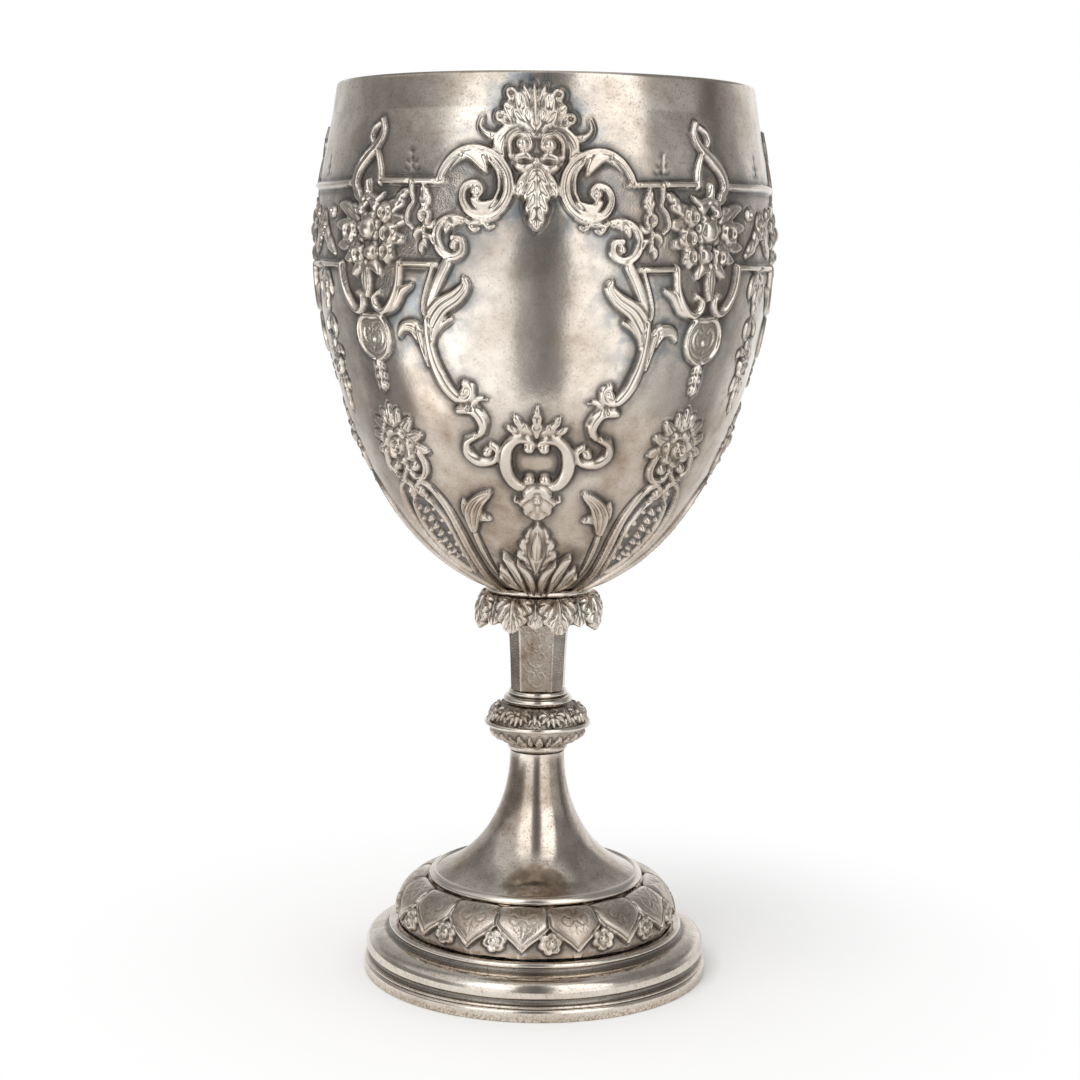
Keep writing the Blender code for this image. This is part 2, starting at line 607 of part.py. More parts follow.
def straps(wall, height, front_reach, column_reach, seam):
    """The level strap at this height, in stretches between cartouches and columns, cut in two at the seam."""
    degree = math.radians(wall.radius(height * wall.hundredth)) / wall.hundredth
    columns = 2 * COLUMNS_EACH_SIDE + 2
    reaches = [column_reach if i % (COLUMNS_EACH_SIDE + 1) else front_reach for i in range(columns + 1)]
    forms = []
    for i in range(columns):
        start = i * COLUMN_PITCH + reaches[i] / degree
        end = (i + 1) * COLUMN_PITCH - reaches[i + 1] / degree
        if end <= start:
            continue
        shift = 360 if start >= seam + 360 else 0
        runs = [(start - shift, end - shift)]
        cut = start < seam + 360 < end
        if cut:
            runs = [(seam + 360, start), (seam, end - 360)]
        for first, last in runs:
            reach = abs(last - first) * degree
            line = [(0, height), (reach / 2, height), (reach, height)]
            taper = (1.0 if cut else 0.6, 0.6)
            side = 1 if last > first else -1
            forms.append(Band(wall, math.radians(first), side, line, STRAP_WIDTH, taper, cut_off=cut))
    return forms


def relief(wall, seam):
    """Every raised form on the bowl, at azimuths from the seam round to the seam again."""
    def from_seam(degrees):
        return math.radians(degrees if degrees > seam else degrees + 360)

    forms = cartouche(wall, from_seam(0)) + cartouche(wall, from_seam(180))
    for i in range(1, COLUMNS_EACH_SIDE + 1):
        for side in (-1, 1):
            forms += flower_column(wall, from_seam(side * i * COLUMN_PITCH), side)
    forms += straps(wall, STRAP_HIGH, VOLUTE_REACH, LOOP_REACH, seam)
    forms += straps(wall, STRAP_LOW, RAIL_REACH, CURL_REACH, seam)
    return forms


def chased_wall(bm, wall, forms, azimuths):
    """The wall's facets with every form raised on it: all edges are triangulated flat, then bent round."""
    azimuth, length = (grid.ravel() for grid in np.meshgrid(azimuths, wall.lengths))
    clear = np.full(azimuth.size, np.inf)
    for form in forms:
        off, half = form.far(azimuth, length)
        clear = np.minimum(clear, off - half)
    on_edge = np.isin(azimuth, (azimuths[0], azimuths[-1])) | np.isin(length, (0, wall.lengths[-1]))
    kept = on_edge | (clear > RELIEF_CLEARANCE)
    corners = list(zip(azimuth[kept], length[kept]))
    edges = []
    for form in forms:
        places, joined = form.mesh()
        edges += [(len(corners) + i, len(corners) + j) for i, j in joined]
        corners += places
    flat = [Vector((a * BELLY_RADIUS, s)) for a, s in corners]
    points, _, faces, *_ = delaunay_2d_cdt(flat, edges, [], 0, 1e-4)
    azimuth = np.array([p.x for p in points]) / BELLY_RADIUS
    length = np.array([p.y for p in points])
    raised = np.zeros(len(points))
    for form in forms:
        off, half = form.far(azimuth, length)
        raised = np.maximum(raised, form.tall * np.clip(1 - off / half, 0, 1))
    verts = [bm.verts.new(wall.point(*place)) for place in zip(azimuth, length, raised)]
    for face in faces:
        bm.faces.new([verts[i] for i in face])


def bowl():
    belly = (BELLY_RADIUS, BELLY_HEIGHT)
    rim = (RIM_RADIUS, BOWL_HEIGHT)
    lower = curve((BOWL_BASE_RADIUS, 0), BOWL_LOWER_PULLS, belly, 13)
    upper = curve(belly, BOWL_UPPER_PULLS, rim, 6)[1:]
    outer = lower + upper
    inner = inset(outer, BOWL_WALL)
    inner[0] = (BOWL_BASE_RADIUS, BOWL_WALL)
    inner[-1] = (RIM_RADIUS - BOWL_WALL - RIM_LIP, BOWL_HEIGHT)
    step = 360 / SEGMENTS
    seam = -step * round(SEAM_TURN * COLUMN_PITCH / step)
    azimuths = [math.radians(seam + step * i) for i in range(SEGMENTS + 1)]
    wall = Wall(outer)
    bm = bmesh.new()
    chased_wall(bm, wall, relief(wall, seam), azimuths)
    for profile in ([(0, 0), outer[0]], [outer[-1]] + inner[::-1] + [(0, BOWL_WALL)]):
        rings = [
            [bm.verts.new((r * math.sin(a), -r * math.cos(a), z)) for r, z in profile]
            for a in azimuths
        ]
        for ring, following in zip(rings, rings[1:]):
            for i in range(len(profile) - 1):
                bm.faces.new((ring[i], following[i], following[i + 1], ring[i + 1]))
    place("bowl", bm, BOWL_BASE, chased_silver)


def bowl_boss():
    profile = [
        (0, BOSS_THREAD_DEPTH),
        (ROD_HOLE_RADIUS, BOSS_THREAD_DEPTH),
        (ROD_HOLE_RADIUS, 0),
        (BOSS_RADIUS, 0),
        (BOSS_RADIUS, BOSS_HEIGHT),
        (0, BOSS_HEIGHT),
    ]
    turned("bowl_boss", profile, BOSS_BASE, fastener_steel, SMALL_SEGMENTS, closed=False)


def washer_height():
    """The height in the trumpet at which the washer's top edge meets the narrowing wall."""
    return height_at(trumpet_outline(TRUMPET_WALL)[1:], WASHER_RADIUS + SEAM)


def throat_washer():
    profile = [
        (ROD_HOLE_RADIUS, 0),
        (WASHER_RADIUS, 0),
        (WASHER_RADIUS, WASHER_THICKNESS),
        (ROD_HOLE_RADIUS, WASHER_THICKNESS),
    ]
    base = TRUMPET_BASE + washer_height() - WASHER_THICKNESS
    turned("throat_washer", profile, base, fastener_steel, SMALL_SEGMENTS)


def nut_base():
    return TRUMPET_BASE + washer_height() - WASHER_THICKNESS - SEAM - NUT_THICKNESS


def rod_nut():
    def section(angle):
        off_flat = (angle + 30.0) % 60.0 - 30.0
        reach = NUT_RADIUS * math.cos(math.radians(30)) / math.cos(math.radians(off_flat))
        return [
            (ROD_HOLE_RADIUS, 0),
            (reach, 0),
            (reach, NUT_THICKNESS),
            (ROD_HOLE_RADIUS, NUT_THICKNESS),
        ]

    lofted("rod_nut", section, [15.0 * i for i in range(24)], nut_base(), fastener_steel)


def tie_rod():
    base = nut_base() - ROD_END
    length = BOSS_BASE + BOSS_THREAD_DEPTH - SEAM - base
    profile = [(0, 0), (ROD_RADIUS, 0), (ROD_RADIUS, length), (0, length)]
    turned("tie_rod", profile, base, fastener_steel, SMALL_SEGMENTS, closed=False)


for old in list(bpy.data.objects):
    bpy.data.objects.remove(old)

goblet = bpy.data.objects.new("goblet", None)
bpy.context.scene.collection.objects.link(goblet)

chased_silver = silver("chased_silver", (0.60, 0.55, 0.48), 0.34)
turned_silver = silver("turned_silver", (0.66, 0.61, 0.54), 0.24)
worn_silver = silver("worn_silver", (0.74, 0.68, 0.58), 0.20)
fastener_steel = silver("fastener_steel", (0.45, 0.44, 0.43), 0.42)

foot_edge_ring()
foot_moulding()
leaf_band()
trumpet_foot()
trumpet_edge_wire()
lower_collar()
knop_half("knop_lower", KNOP_NECK_RADIUS, KNOP_LOWER_HEIGHT, KNOP_LOWER_BASE, upright=True)
knop_girdle_wire()
knop_half("knop_upper", KNOP_SHOULDER_RADIUS, KNOP_UPPER_HEIGHT, KNOP_UPPER_BASE, upright=False)
upper_collar()
stem_tube()
leaf_frill()
bowl_collar_ring()
bowl()
bowl_boss()
throat_washer()
rod_nut()
tie_rod()
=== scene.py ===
"""The looks of a chased silver goblet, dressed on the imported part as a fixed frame.

Each visible node is replaced by a fine mesh of the same profile. The chased ornament is real relief:
strokes, leaves, flowers and beads are drawn in millimetres on the flattened wall, which is then
wrapped back round the goblet. Profiles are (radius, height) pairs in millimetres, meshes are in
metres, +Z is up and the front faces -Y. An azimuth is 0 in front and grows towards +X.
"""

import math

import bpy
import numpy as np
from mathutils import Matrix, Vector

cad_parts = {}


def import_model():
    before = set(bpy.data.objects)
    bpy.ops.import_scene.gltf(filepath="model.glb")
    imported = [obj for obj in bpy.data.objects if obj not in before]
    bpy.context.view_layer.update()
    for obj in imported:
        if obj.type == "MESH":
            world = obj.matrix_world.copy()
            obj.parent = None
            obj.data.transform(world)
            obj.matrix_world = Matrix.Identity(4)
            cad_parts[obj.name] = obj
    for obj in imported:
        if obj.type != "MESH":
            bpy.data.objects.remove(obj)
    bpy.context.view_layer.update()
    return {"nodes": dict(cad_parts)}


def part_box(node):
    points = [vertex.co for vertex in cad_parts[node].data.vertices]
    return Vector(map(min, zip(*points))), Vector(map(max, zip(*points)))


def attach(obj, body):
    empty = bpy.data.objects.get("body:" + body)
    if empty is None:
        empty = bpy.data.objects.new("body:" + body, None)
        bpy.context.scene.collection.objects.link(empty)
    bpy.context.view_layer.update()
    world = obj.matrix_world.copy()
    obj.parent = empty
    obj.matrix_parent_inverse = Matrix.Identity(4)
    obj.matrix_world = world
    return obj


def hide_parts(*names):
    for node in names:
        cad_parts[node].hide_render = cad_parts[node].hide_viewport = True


MM = 0.001

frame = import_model()
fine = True


def base(node):
    """The height of a node's underside in mm."""
    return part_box(node)[0].z / MM


def top(node):
    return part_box(node)[1].z / MM


def reach(node):
    """The largest radius of a turned node in mm."""
    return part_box(node)[1].x / MM


# Profiles: shapes shared with the solids

WALL = 1.1
BOWL_BELLY_RISE = 111.0
BOWL_BASE_RADIUS = 17.8
BOWL_RIM_RADIUS = 68.6
BOWL_BELLY_RADIUS = 75.8
BOWL_LOW_PULLS = (0.75, 0.144), (0, -0.23)
BOWL_HIGH_PULLS = (0, 0.3), (0.92, -0.59)
RIM_THICKNESS = 1.6
LEAST_WALL = 0.2  # what the deepest chasing leaves of the bowl's wall
SUNK = 0.45  # how far the bowl's plain ground lies inside the solid's surface


def pulled(start, pulls, end, count):
    """Points on a cubic whose handles stand off its ends by these shares of its width and height."""
    start, end = np.array(start, float), np.array(end, float)
    span = np.abs(end - start)
    first, last = start + np.array(pulls[0]) * span, end + np.array(pulls[1]) * span
    t = np.linspace(0, 1, count)[:, None]
    return (1 - t) ** 3 * start + 3 * (1 - t) ** 2 * t * first + 3 * (1 - t) * t**2 * last + t**3 * end


def arc(centre, radius, start, end, count):
    """Points on a circle about centre, between two angles in degrees."""
    angles = np.radians(np.linspace(start, end, count))
    return np.column_stack([centre[0] + radius * np.cos(angles), centre[1] + radius * np.sin(angles)])


def arc_lengths(line):
    return np.concatenate([[0], np.cumsum(np.linalg.norm(np.diff(line, axis=0), axis=1))])


def normals(line):
    """Unit normals on the right of the line's direction."""
    along = np.gradient(line, axis=0)
    along /= np.maximum(np.linalg.norm(along, axis=1, keepdims=True), 1e-9)
    return np.column_stack([along[:, 1], -along[:, 0]])


def spaced(line, step):
    """The same line with its points about this far apart."""
    lengths = arc_lengths(line)
    places = np.linspace(0, lengths[-1], max(2, math.ceil(lengths[-1] / step) + 1))
    return np.column_stack([np.interp(places, lengths, line[:, i]) for i in (0, 1)])


def bowl_wall():
    start = (BOWL_BASE_RADIUS, base("bowl"))
    belly = (BOWL_BELLY_RADIUS, base("bowl") + BOWL_BELLY_RISE)
    low = pulled(start, BOWL_LOW_PULLS, belly, 400)
    high = pulled(belly, BOWL_HIGH_PULLS, (BOWL_RIM_RADIUS, top("bowl")), 300)
    return np.vstack([low, high[1:]])


# Drawing relief on a flattened wall


def smooth_line(points, closed=False, step=0.4):
    """A smooth line through the points, in steps of about this many mm."""
    p = np.asarray(points, float)
    if closed:
        ends = np.vstack([p[-1], p, p[0], p[1]])
    else:
        ends = np.vstack([2 * p[0] - p[1], p, 2 * p[-1] - p[-2]])
    line = []
    for before, start, end, after in zip(ends, ends[1:], ends[2:], ends[3:]):
        count = max(2, math.ceil(np.linalg.norm(end - start) / step))
        t = np.arange(count)[:, None] / count
        line.append(
            start
            + 0.5 * t * (end - before)
            + 0.5 * t**2 * (2 * before - 5 * start + 4 * end - after)
            + 0.5 * t**3 * (3 * start - before - 3 * end + after)
        )
    line.append(ends[-2:-1])
    return np.vstack(line)


def beside(x, s, line):
    """Distance from a line (positive on its left) and share of the way along it, for every point."""
    lengths = np.linalg.norm(np.diff(line, axis=0), axis=1)
    nearest = np.full(x.shape, 1e9)
    across = np.zeros(x.shape)
    along = np.zeros(x.shape)
    passed = 0.0
    for (x0, s0), (x1, s1), length in zip(line, line[1:], lengths):
        ux, us = (x1 - x0) / length, (s1 - s0) / length
        t = np.clip((x - x0) * ux + (s - s0) * us, 0, length)
        dx, ds = x - x0 - t * ux, s - s0 - t * us
        square = dx * dx + ds * ds
        closer = square < nearest
        nearest = np.where(closer, square, nearest)
        across = np.where(closer, np.where(ux * ds - us * dx >= 0, 1.0, -1.0), across)
        along = np.where(closer, (passed + t) / lengths.sum(), along)
        passed += length
    return across * np.sqrt(nearest), along


def mirrored(half):
    """A closed outline from its right half, whose first and last points lie on the axis."""
    return half + [(-x, s) for x, s in half[-2:0:-1]]


def shrunk(outline, middle, share):
    """The outline drawn smaller about a point on the axis."""
    return [(x * share, middle + (s - middle) * share) for x, s in outline]


# Depth and spread in mm of the groove round a form that lies over another one, and round one on the ground
CUT_DEPTH, CUT_SPREAD = 0.35, 0.45
CHASED_DEPTH, CHASED_SPREAD = 0.4, 0.75
TARNISH_AND_SHADE_REACH = 1.15  # how far tarnish and painted shade spread from a raised form, in mm
FAR_OFF = 9.0  # mm from any raised form
LEAST_HALF = 0.05  # half the width of a leaf's thinnest tip, in mm


def raised_rim(v, place):
    """A soft ridge beside an edge: v is 0 in the middle of a form and 1 at its edge."""
    return np.exp(-(((v - place) / 0.2) ** 2))


class Panel:
    """A wall laid flat: rows climb it by arc length in mm, columns go round it by azimuth in radians."""

    def __init__(self, arc, radius, turn):
        self.arc, self.radius, self.turn = arc, radius, turn
        shape = (arc.size, turn.size)
        self.height = np.zeros(shape)
        self.clear = np.full(shape, FAR_OFF)  # distance to the nearest raised form
        self.matt = np.zeros(shape)
        self.raised_matt = np.zeros(shape)
        self.shade = np.zeros(shape)
        self.axis, self.flip = 0.0, 1.0

    def at(self, degrees, flip=1.0):
        """Moves the drawing's own axis to this azimuth; flip -1 draws the mirror image."""
        self.axis, self.flip = math.radians(degrees), flip
        return self

    def halves(self):
        """Turns the drawing into its mirror image and back, for ornament on both sides of its axis."""
        flip = self.flip
        for side in (-1, 1):
            self.flip = side * flip
            yield side

    def patch(self, points, margin):
        """The rows and columns round these points, perhaps none, and the local place of each, in mm."""
        points = np.asarray(points, float)
        low, high = points.min(axis=0) - margin, points.max(axis=0) + margin
        rows = slice(np.searchsorted(self.arc, low[1]), np.searchsorted(self.arc, high[1], "right"))
        least = max(self.radius[rows].min(initial=self.radius.max()), 1.0)
        ends = sorted(self.axis + self.flip * v / least for v in (min(low[0], 0), max(high[0], 0)))
        columns = slice(np.searchsorted(self.turn, ends[0]), np.searchsorted(self.turn, ends[1], "right"))
        x = self.flip * self.radius[rows, None] * (self.turn[None, columns] - self.axis)
        s = np.broadcast_to(self.arc[rows, None], x.shape)
        return (rows, columns), x, s

    def beside(self, points, margin, closed=False):
        """The patch round a smooth line, with each point's distance from it and share of the way along."""
        window, x, s = self.patch(points, margin)
        return (window, *beside(x, s, smooth_line(points, closed)))

    def about(self, centre, radius):
        """The patch round a centre, with each point's distance and direction from it."""
        window, x, s = self.patch([centre], radius + 2)
        return window, np.hypot(x - centre[0], s - centre[1]), np.arctan2(s - centre[1], x - centre[0])

    def lay(self, window, form, edge):
        """Raises a form where edge is negative; a groove follows it over whatever lies below."""
        below = self.height[window]
        chase = CUT_DEPTH * np.exp(-((np.maximum(edge, 0) / CUT_SPREAD) ** 2)) * (below > 0)
        self.height[window] = np.where(edge < 0, np.maximum(form, below * 0.4), below - chase)
        self.clear[window] = np.minimum(self.clear[window], edge)
        self.raised_matt[window] = np.where(edge < 0, 0, self.raised_matt[window])

    def stroke(self, points, width, height, profile="round", taper=(1, 1), closed=False):
        """A raised band along a line; taper gives its start and end widths as shares."""
        window, across, along = self.beside(points, width + 4, closed)
        swell = np.interp(along, [0, 0.5, 1], [taper[0], 1, taper[1]])
        half = np.maximum(width / 2 * swell, LEAST_HALF)
        v = np.abs(across) / half
        if profile == "round":
            form = height * np.sqrt(np.clip(1 - v**2, 0, 1)) * np.minimum(swell, 1) ** 0.5
        elif profile == "strap":
            form = height * np.clip((1 - v) * 5, 0, 1) * (0.5 + 0.5 * raised_rim(v, 0.72))
        elif profile == "flat":
            form = height * np.clip((1 - v) * 4, 0, 1)
        self.lay(window, form, np.abs(across) - half)

    def leaf(self, spine, width, height, lobes=3, base=0.35, ribs=0.3, tooth=0.22):
        """A leaf with a lobed edge, slanting ribs and a midrib, from its stalk to its tip."""
        window, across, along = self.beside(spine, width + 3)
        body = np.clip(base + along * (1 - base) / 0.35, 0, 1) * np.clip(1 - along, 0, 1) ** 0.42
        notch = 1 - tooth * np.abs(np.sin(math.pi * (lobes * along + 0.1))) ** 2
        half = np.maximum(width / 2 * body * notch, LEAST_HALF)
        v = np.clip(np.abs(across) / half, 0, 1)
        slant = 0.5 + 0.5 * np.cos(2 * math.pi * (lobes * along - 0.75 * v + 0.1))
        midrib = np.exp(-((across / 0.35) ** 2)) * np.clip(half * 0.8, 0, 1)
        form = height * (0.3 + 0.7 * np.sqrt(1 - v**2)) * (1 - ribs * (1 - slant)) - 0.25 * height * midrib
        self.lay(window, form, np.abs(across) - half)

    def acanthus(self, spine, width, height, lobes=3, base=0.45, tooth=0.34, curl=1.0):
        """A broad leaf: rounded lobes parted by slanting folds, on both sides of a raised midrib."""
        window, across, along = self.beside(spine, width / 2 + 3)
        body = np.interp(along, [0, 0.32, 1], [base, 1, 1]) * np.clip(1 - along**2.6, 0, 1) ** 0.6
        slant = curl * 0.5 * width / arc_lengths(smooth_line(spine))[-1]
        edge_fold = np.abs(np.sin(math.pi * (lobes * (along - slant) + 0.25))) ** 0.45
        half = np.maximum(width / 2 * body * (1 - tooth * (1 - edge_fold)), LEAST_HALF)
        v = np.clip(np.abs(across) / half, 0, 1)
        fold = np.abs(np.sin(math.pi * (lobes * (along - slant * v) + 0.25))) ** 0.55
        lobe = 0.42 + 0.58 * fold * np.clip(v * 3, 0, 1) + 0.2 * (1 - np.clip(v * 3, 0, 1))
        form = height * lobe * np.clip((1 - v) * 3.2, 0, 1) ** 0.5
        rib = (0.25 + 0.05 * width) * (1 - 0.7 * along)
        midrib = 1.1 * np.sqrt(np.clip(1 - (across / rib) ** 2, 0, 1)) * np.clip(body, 0, 1)
        self.lay(window, np.maximum(form, height * midrib), np.abs(across) - half)

    def blade(self, spine, width, height, base=0.4, veins=0):
        """A smooth leaf with lengthwise veins and a rounded tip."""
        window, across, along = self.beside(spine, width / 2 + 3)
        body = np.interp(along, [0, 0.4, 1], [base, 1, 1]) * np.clip(1 - along**2.4, 0, 1) ** 0.5
        half = np.maximum(width / 2 * body, LEAST_HALF)
        v = np.clip(np.abs(across) / half, 0, 1)
        ripple = 0.5 + 0.5 * np.cos(2 * math.pi * (veins + 0.5) * v)
        form = height * (0.5 + 0.5 * ripple) * np.clip((1 - v) * 3.5, 0, 1) ** 0.5
        self.lay(window, form, np.abs(across) - half)

    def bead(self, centre, radius, height):
        window, far, _ = self.about(centre, radius)
        self.lay(window, height * np.sqrt(np.clip(1 - (far / radius) ** 2, 0, 1)), far - radius)

    def rosette(self, centre, radius, height, petals=5, turn=0.0):
        """A flower: petals with raised rims round a bead."""
        window, far, angle = self.about(centre, radius)
        lobe = np.abs(np.cos(petals * (angle - math.radians(turn)) / 2))
        reach = radius * (0.78 + 0.22 * lobe**0.7)
        v = np.clip(far / reach, 0, 1)
        petal = np.clip((1 - v) * 5, 0, 1) * (0.5 + 0.5 * raised_rim(v, 0.74)) * (0.6 + 0.4 * lobe)
        heart = np.sqrt(np.clip(1 - (far / (0.3 * radius)) ** 2, 0, 1))
        self.lay(window, height * (petal + 0.5 * heart), far - reach)

    def ring(self, centre, radius, width, height):
        window, far, _ = self.about(centre, radius)
        v = np.abs(far - radius + width / 2) / (width / 2)
        self.lay(window, height * np.sqrt(np.clip(1 - v**2, 0, 1)), far - radius)

    def dome(self, outline, height, shoulder):
        """A raised closed shape, drawn anticlockwise, rounded over this far from its edge."""
        window, inward, _ = self.beside(outline, 3, closed=True)
        rise = np.clip(inward / shoulder, 0, 1)
        self.lay(window, height * np.sqrt(1 - (1 - rise) ** 2), -inward)

    def ground(self, outline, depth, matt=1.0, shade=0.0):
        """A sunk and matted ground inside a straight-sided outline, darkened by shade: tarnish and painted
        shade.
        """
        window, x, s = self.patch(outline, 2)
        inside = np.zeros(x.shape, bool)
        for (x0, s0), (x1, s1) in zip(outline, outline[1:] + outline[:1]):
            if s0 == s1:
                continue
            crosses = (s0 > s) != (s1 > s)
            inside ^= crosses & (x < x0 + (s - s0) / (s1 - s0) * (x1 - x0))
        free = inside & (self.height[window] <= 0)
        self.height[window] = np.where(free, np.minimum(self.height[window], -depth), self.height[window])
        self.matt[window] = np.maximum(self.matt[window], inside * matt)
        self.shade[window] = np.maximum(self.shade[window], inside * shade)

    def matted(self, outline, amount):
        """A dull stippled patch on a raised shape, drawn anticlockwise."""
        window, inward, _ = self.beside(outline, 1, closed=True)
        self.raised_matt[window] = np.where(inward > 0, amount, self.raised_matt[window])

    def groove(self, points, width, depth, shade=0.0):
        """An engraved line, cut into whatever lies there, darkened by shade: tarnish left in it and painted
        shade.
        """
        window, across, _ = self.beside(points, width + 1)
        line = np.exp(-((across / (width / 2)) ** 2))
        self.height[window] -= depth * line
        self.shade[window] = np.maximum(self.shade[window], shade * line)

    def settle(self):
        """The finished height: grooves chased into the ground round every raised form."""
        chased = CHASED_DEPTH * np.exp(-((np.maximum(self.clear, 0) / CHASED_SPREAD) ** 2))
        self.matt = np.where(self.clear > 0, self.matt, self.raised_matt)
        # Tarnish and painted shade: the ground darkens near every raised form and wherever a ground or groove
        # was given shade
        halo = np.exp(-((np.maximum(self.clear, 0) / TARNISH_AND_SHADE_REACH) ** 2))
        self.tarnish_and_shade = np.maximum(halo, self.shade) * (self.clear > 0)
        self.height = np.where(self.clear > 0, self.height - chased, self.height)
        for axis in (0, 1):
            self.height = (self.height + np.roll(self.height, 1, axis) + np.roll(self.height, -1, axis)) / 3


def blurred(height, spread, arc, radius):
    """The height averaged over this many mm, all the way round and up the wall."""
    waves = np.arange(height.shape[1] // 2 + 1)
    fade = np.exp(-0.5 * (waves[None, :] * spread / np.maximum(radius[:, None], 1.0)) ** 2)
    around = np.fft.irfft(np.fft.rfft(height, axis=1) * fade, height.shape[1], axis=1)
    weights = np.exp(-0.5 * ((arc[:, None] - arc[None, :]) / spread) ** 2)
    return weights @ around / weights.sum(axis=1, keepdims=True)


def looked_up(field, row, column):
    """Values of a field between its cells."""
    r = np.clip(np.floor(row).astype(int), 0, field.shape[0] - 2)
    c = np.clip(np.floor(column).astype(int), 0, field.shape[1] - 2)
    fr, fc = np.clip(row - r, 0, 1), np.clip(column - c, 0, 1)
    low = field[r, c] * (1 - fc) + field[r, c + 1] * fc
    high = field[r + 1, c] * (1 - fc) + field[r + 1, c + 1] * fc
    return low * (1 - fr) + high * fr


# Over how many mm the relief is averaged to find rubbed edges, cavities between forms and filmed ornament
EDGE_SPREAD, CAVITY_SPREAD, FILM_SPREAD = 0.5, 2.4, 6.0


def weathering(height, matt, tarnish_and_shade, arc, radius):
    """Point values that the silver's material reads: deep cavities, rubbed heights, matted ground, tarnish
    and painted shade round raised forms, film.
    """
    near, wide, far = (
        blurred(height, spread, arc, radius) for spread in (EDGE_SPREAD, CAVITY_SPREAD, FILM_SPREAD)
    )
    return {
        "cavity": np.clip((wide - height + 0.10) / 0.75, 0, 1) * np.clip(wide / 0.12, 0, 1),
        "wear": np.clip((height - near) / 0.05, 0, 1) * np.clip(height / 0.25, 0, 1),
        "matt": matt,
        "tarnish_and_shade": tarnish_and_shade,
        "film": np.clip(far / 0.35, 0, 1) * np.clip(1 - height / 0.3, 0, 1),
    }


# The bowl's ornament, in mm from the cartouche's axis or from a flower column's axis

PITCH = 45.0  # degrees from a cartouche to a column and from one column to the next
STRAP_HIGH, STRAP_LOW = 153.1, 127.8


def crest(p):
    """The palmette and twin volutes above the cartouche."""
    fan = [(0, 168.4), (6, 168.8), (10.8, 170.6), (10.8, 173.4), (9.4, 177), (7, 180), (3.4, 181.4), (0, 182)]
    p.dome(mirrored(fan), 0.6, shoulder=1.2)
    plate = mirrored([(0, 152.6), (5, 155), (8.4, 159), (9.8, 164), (6, 168.6), (0, 169)])
    p.dome(plate, 0.5, shoulder=1)
    p.matted([(x * 0.95, s) for x, s in plate], 0.7)
    p.blade([(1, 168.8), (6.4, 169.4), (11, 171)], 3.6, 1.1)
    p.ring((10.8, 172.6), 2, 1.3, 1.5)
    p.acanthus([(0.8, 169), (5.4, 171.6), (9.8, 176.8)], 6.4, 1.4, lobes=2, base=0.7, tooth=0.24)
    p.ring((7.2, 179.8), 2, 1.3, 1.6)
    p.blade([(0.4, 169.4), (1.4, 176), (3.4, 182.6)], 4, 1.1)
    p.acanthus([(0.6, 169.2), (3.8, 173.4), (4.8, 180.4)], 7.6, 1.7, lobes=2, base=0.8, tooth=0.24)
    p.blade([(0, 170.4), (0, 176), (0, 183.4)], 2.6, 1.9)
    horn = [(7.4, 168), (11.6, 166.8), (15, 167.2), (17.2, 169.4), (16.8, 172.2)]
    p.stroke(horn, 2.7, 1.4, taper=(1, 0.25))
    p.blade([(10.6, 159.6), (11.6, 164), (8.6, 168.2), (2.6, 169.2)], 5.4, 1.2, veins=2)
    eye = [(8, 160.8), (8.2, 165.2), (5.8, 167.6), (2.8, 167), (1.7, 164.4), (3, 162.2)]
    p.stroke(eye, 1.9, 1.9, taper=(1, 0.7))
    p.bead((4.2, 164.4), 2.3, 2.7)
    p.stroke([(1, 159.6), (3.2, 161), (6, 160.4)], 3.2, 1.9, taper=(0.5, 0.8))
    p.stroke([(1, 158.4), (3.4, 157.2), (5.8, 157.8)], 3, 1.8, taper=(0.5, 0.8))
    p.bead((0, 159.4), 1.6, 2)
    p.blade([(0.2, 156.4), (3.2, 153.6), (6.2, 148.8)], 5.2, 1.8, veins=1)
    p.acanthus([(0, 154.6), (0, 148.4), (0, 138.8)], 9.2, 1.7, lobes=4, base=0.8, tooth=0.22)


def volute(p):
    """The big scroll that the upper strap ends in, with its leafy lining."""
    sweep = [(30.9, 152.9), (29.4, 156.6), (26, 160.6), (21.6, 162.7), (16.6, 162.4), (12, 159.8), (9, 155.2)]
    round_turn = [(8.6, 149.6), (11.4, 144.8), (16, 142.9), (20.6, 144.2), (22.9, 148)]
    curl = [(22, 151.6), (18.8, 152.8), (17, 150.9), (18, 149)]
    hollow = [(12, 146), (10.5, 153), (16, 160), (23, 160.5), (27.5, 157), (29.5, 151.5), (23, 144)]
    p.ground(hollow, 0.25, 0.7, 0.6)
    p.stroke(sweep + round_turn + curl, 3.6, 1.6, profile="strap", taper=(0.5, 0.5))
    p.stroke([(27.2, 156.6), (24, 159.6), (19.8, 160.9)], 0.9, 1, taper=(0.4, 0.8))
    p.blade([(22.4, 161.4), (18.4, 160.2), (15.2, 155.8)], 4.6, 1.4, veins=2)
    p.stroke([(15, 160), (12, 156), (11.4, 151.2), (13, 147.4)], 1.5, 1.4, profile="flat", taper=(0.5, 0.5))
    p.blade([(12.6, 147.4), (16.6, 145.6), (20.4, 148.4)], 4, 1.4, veins=2)
    p.bead((18.9, 150.2), 1.5, 1.8)


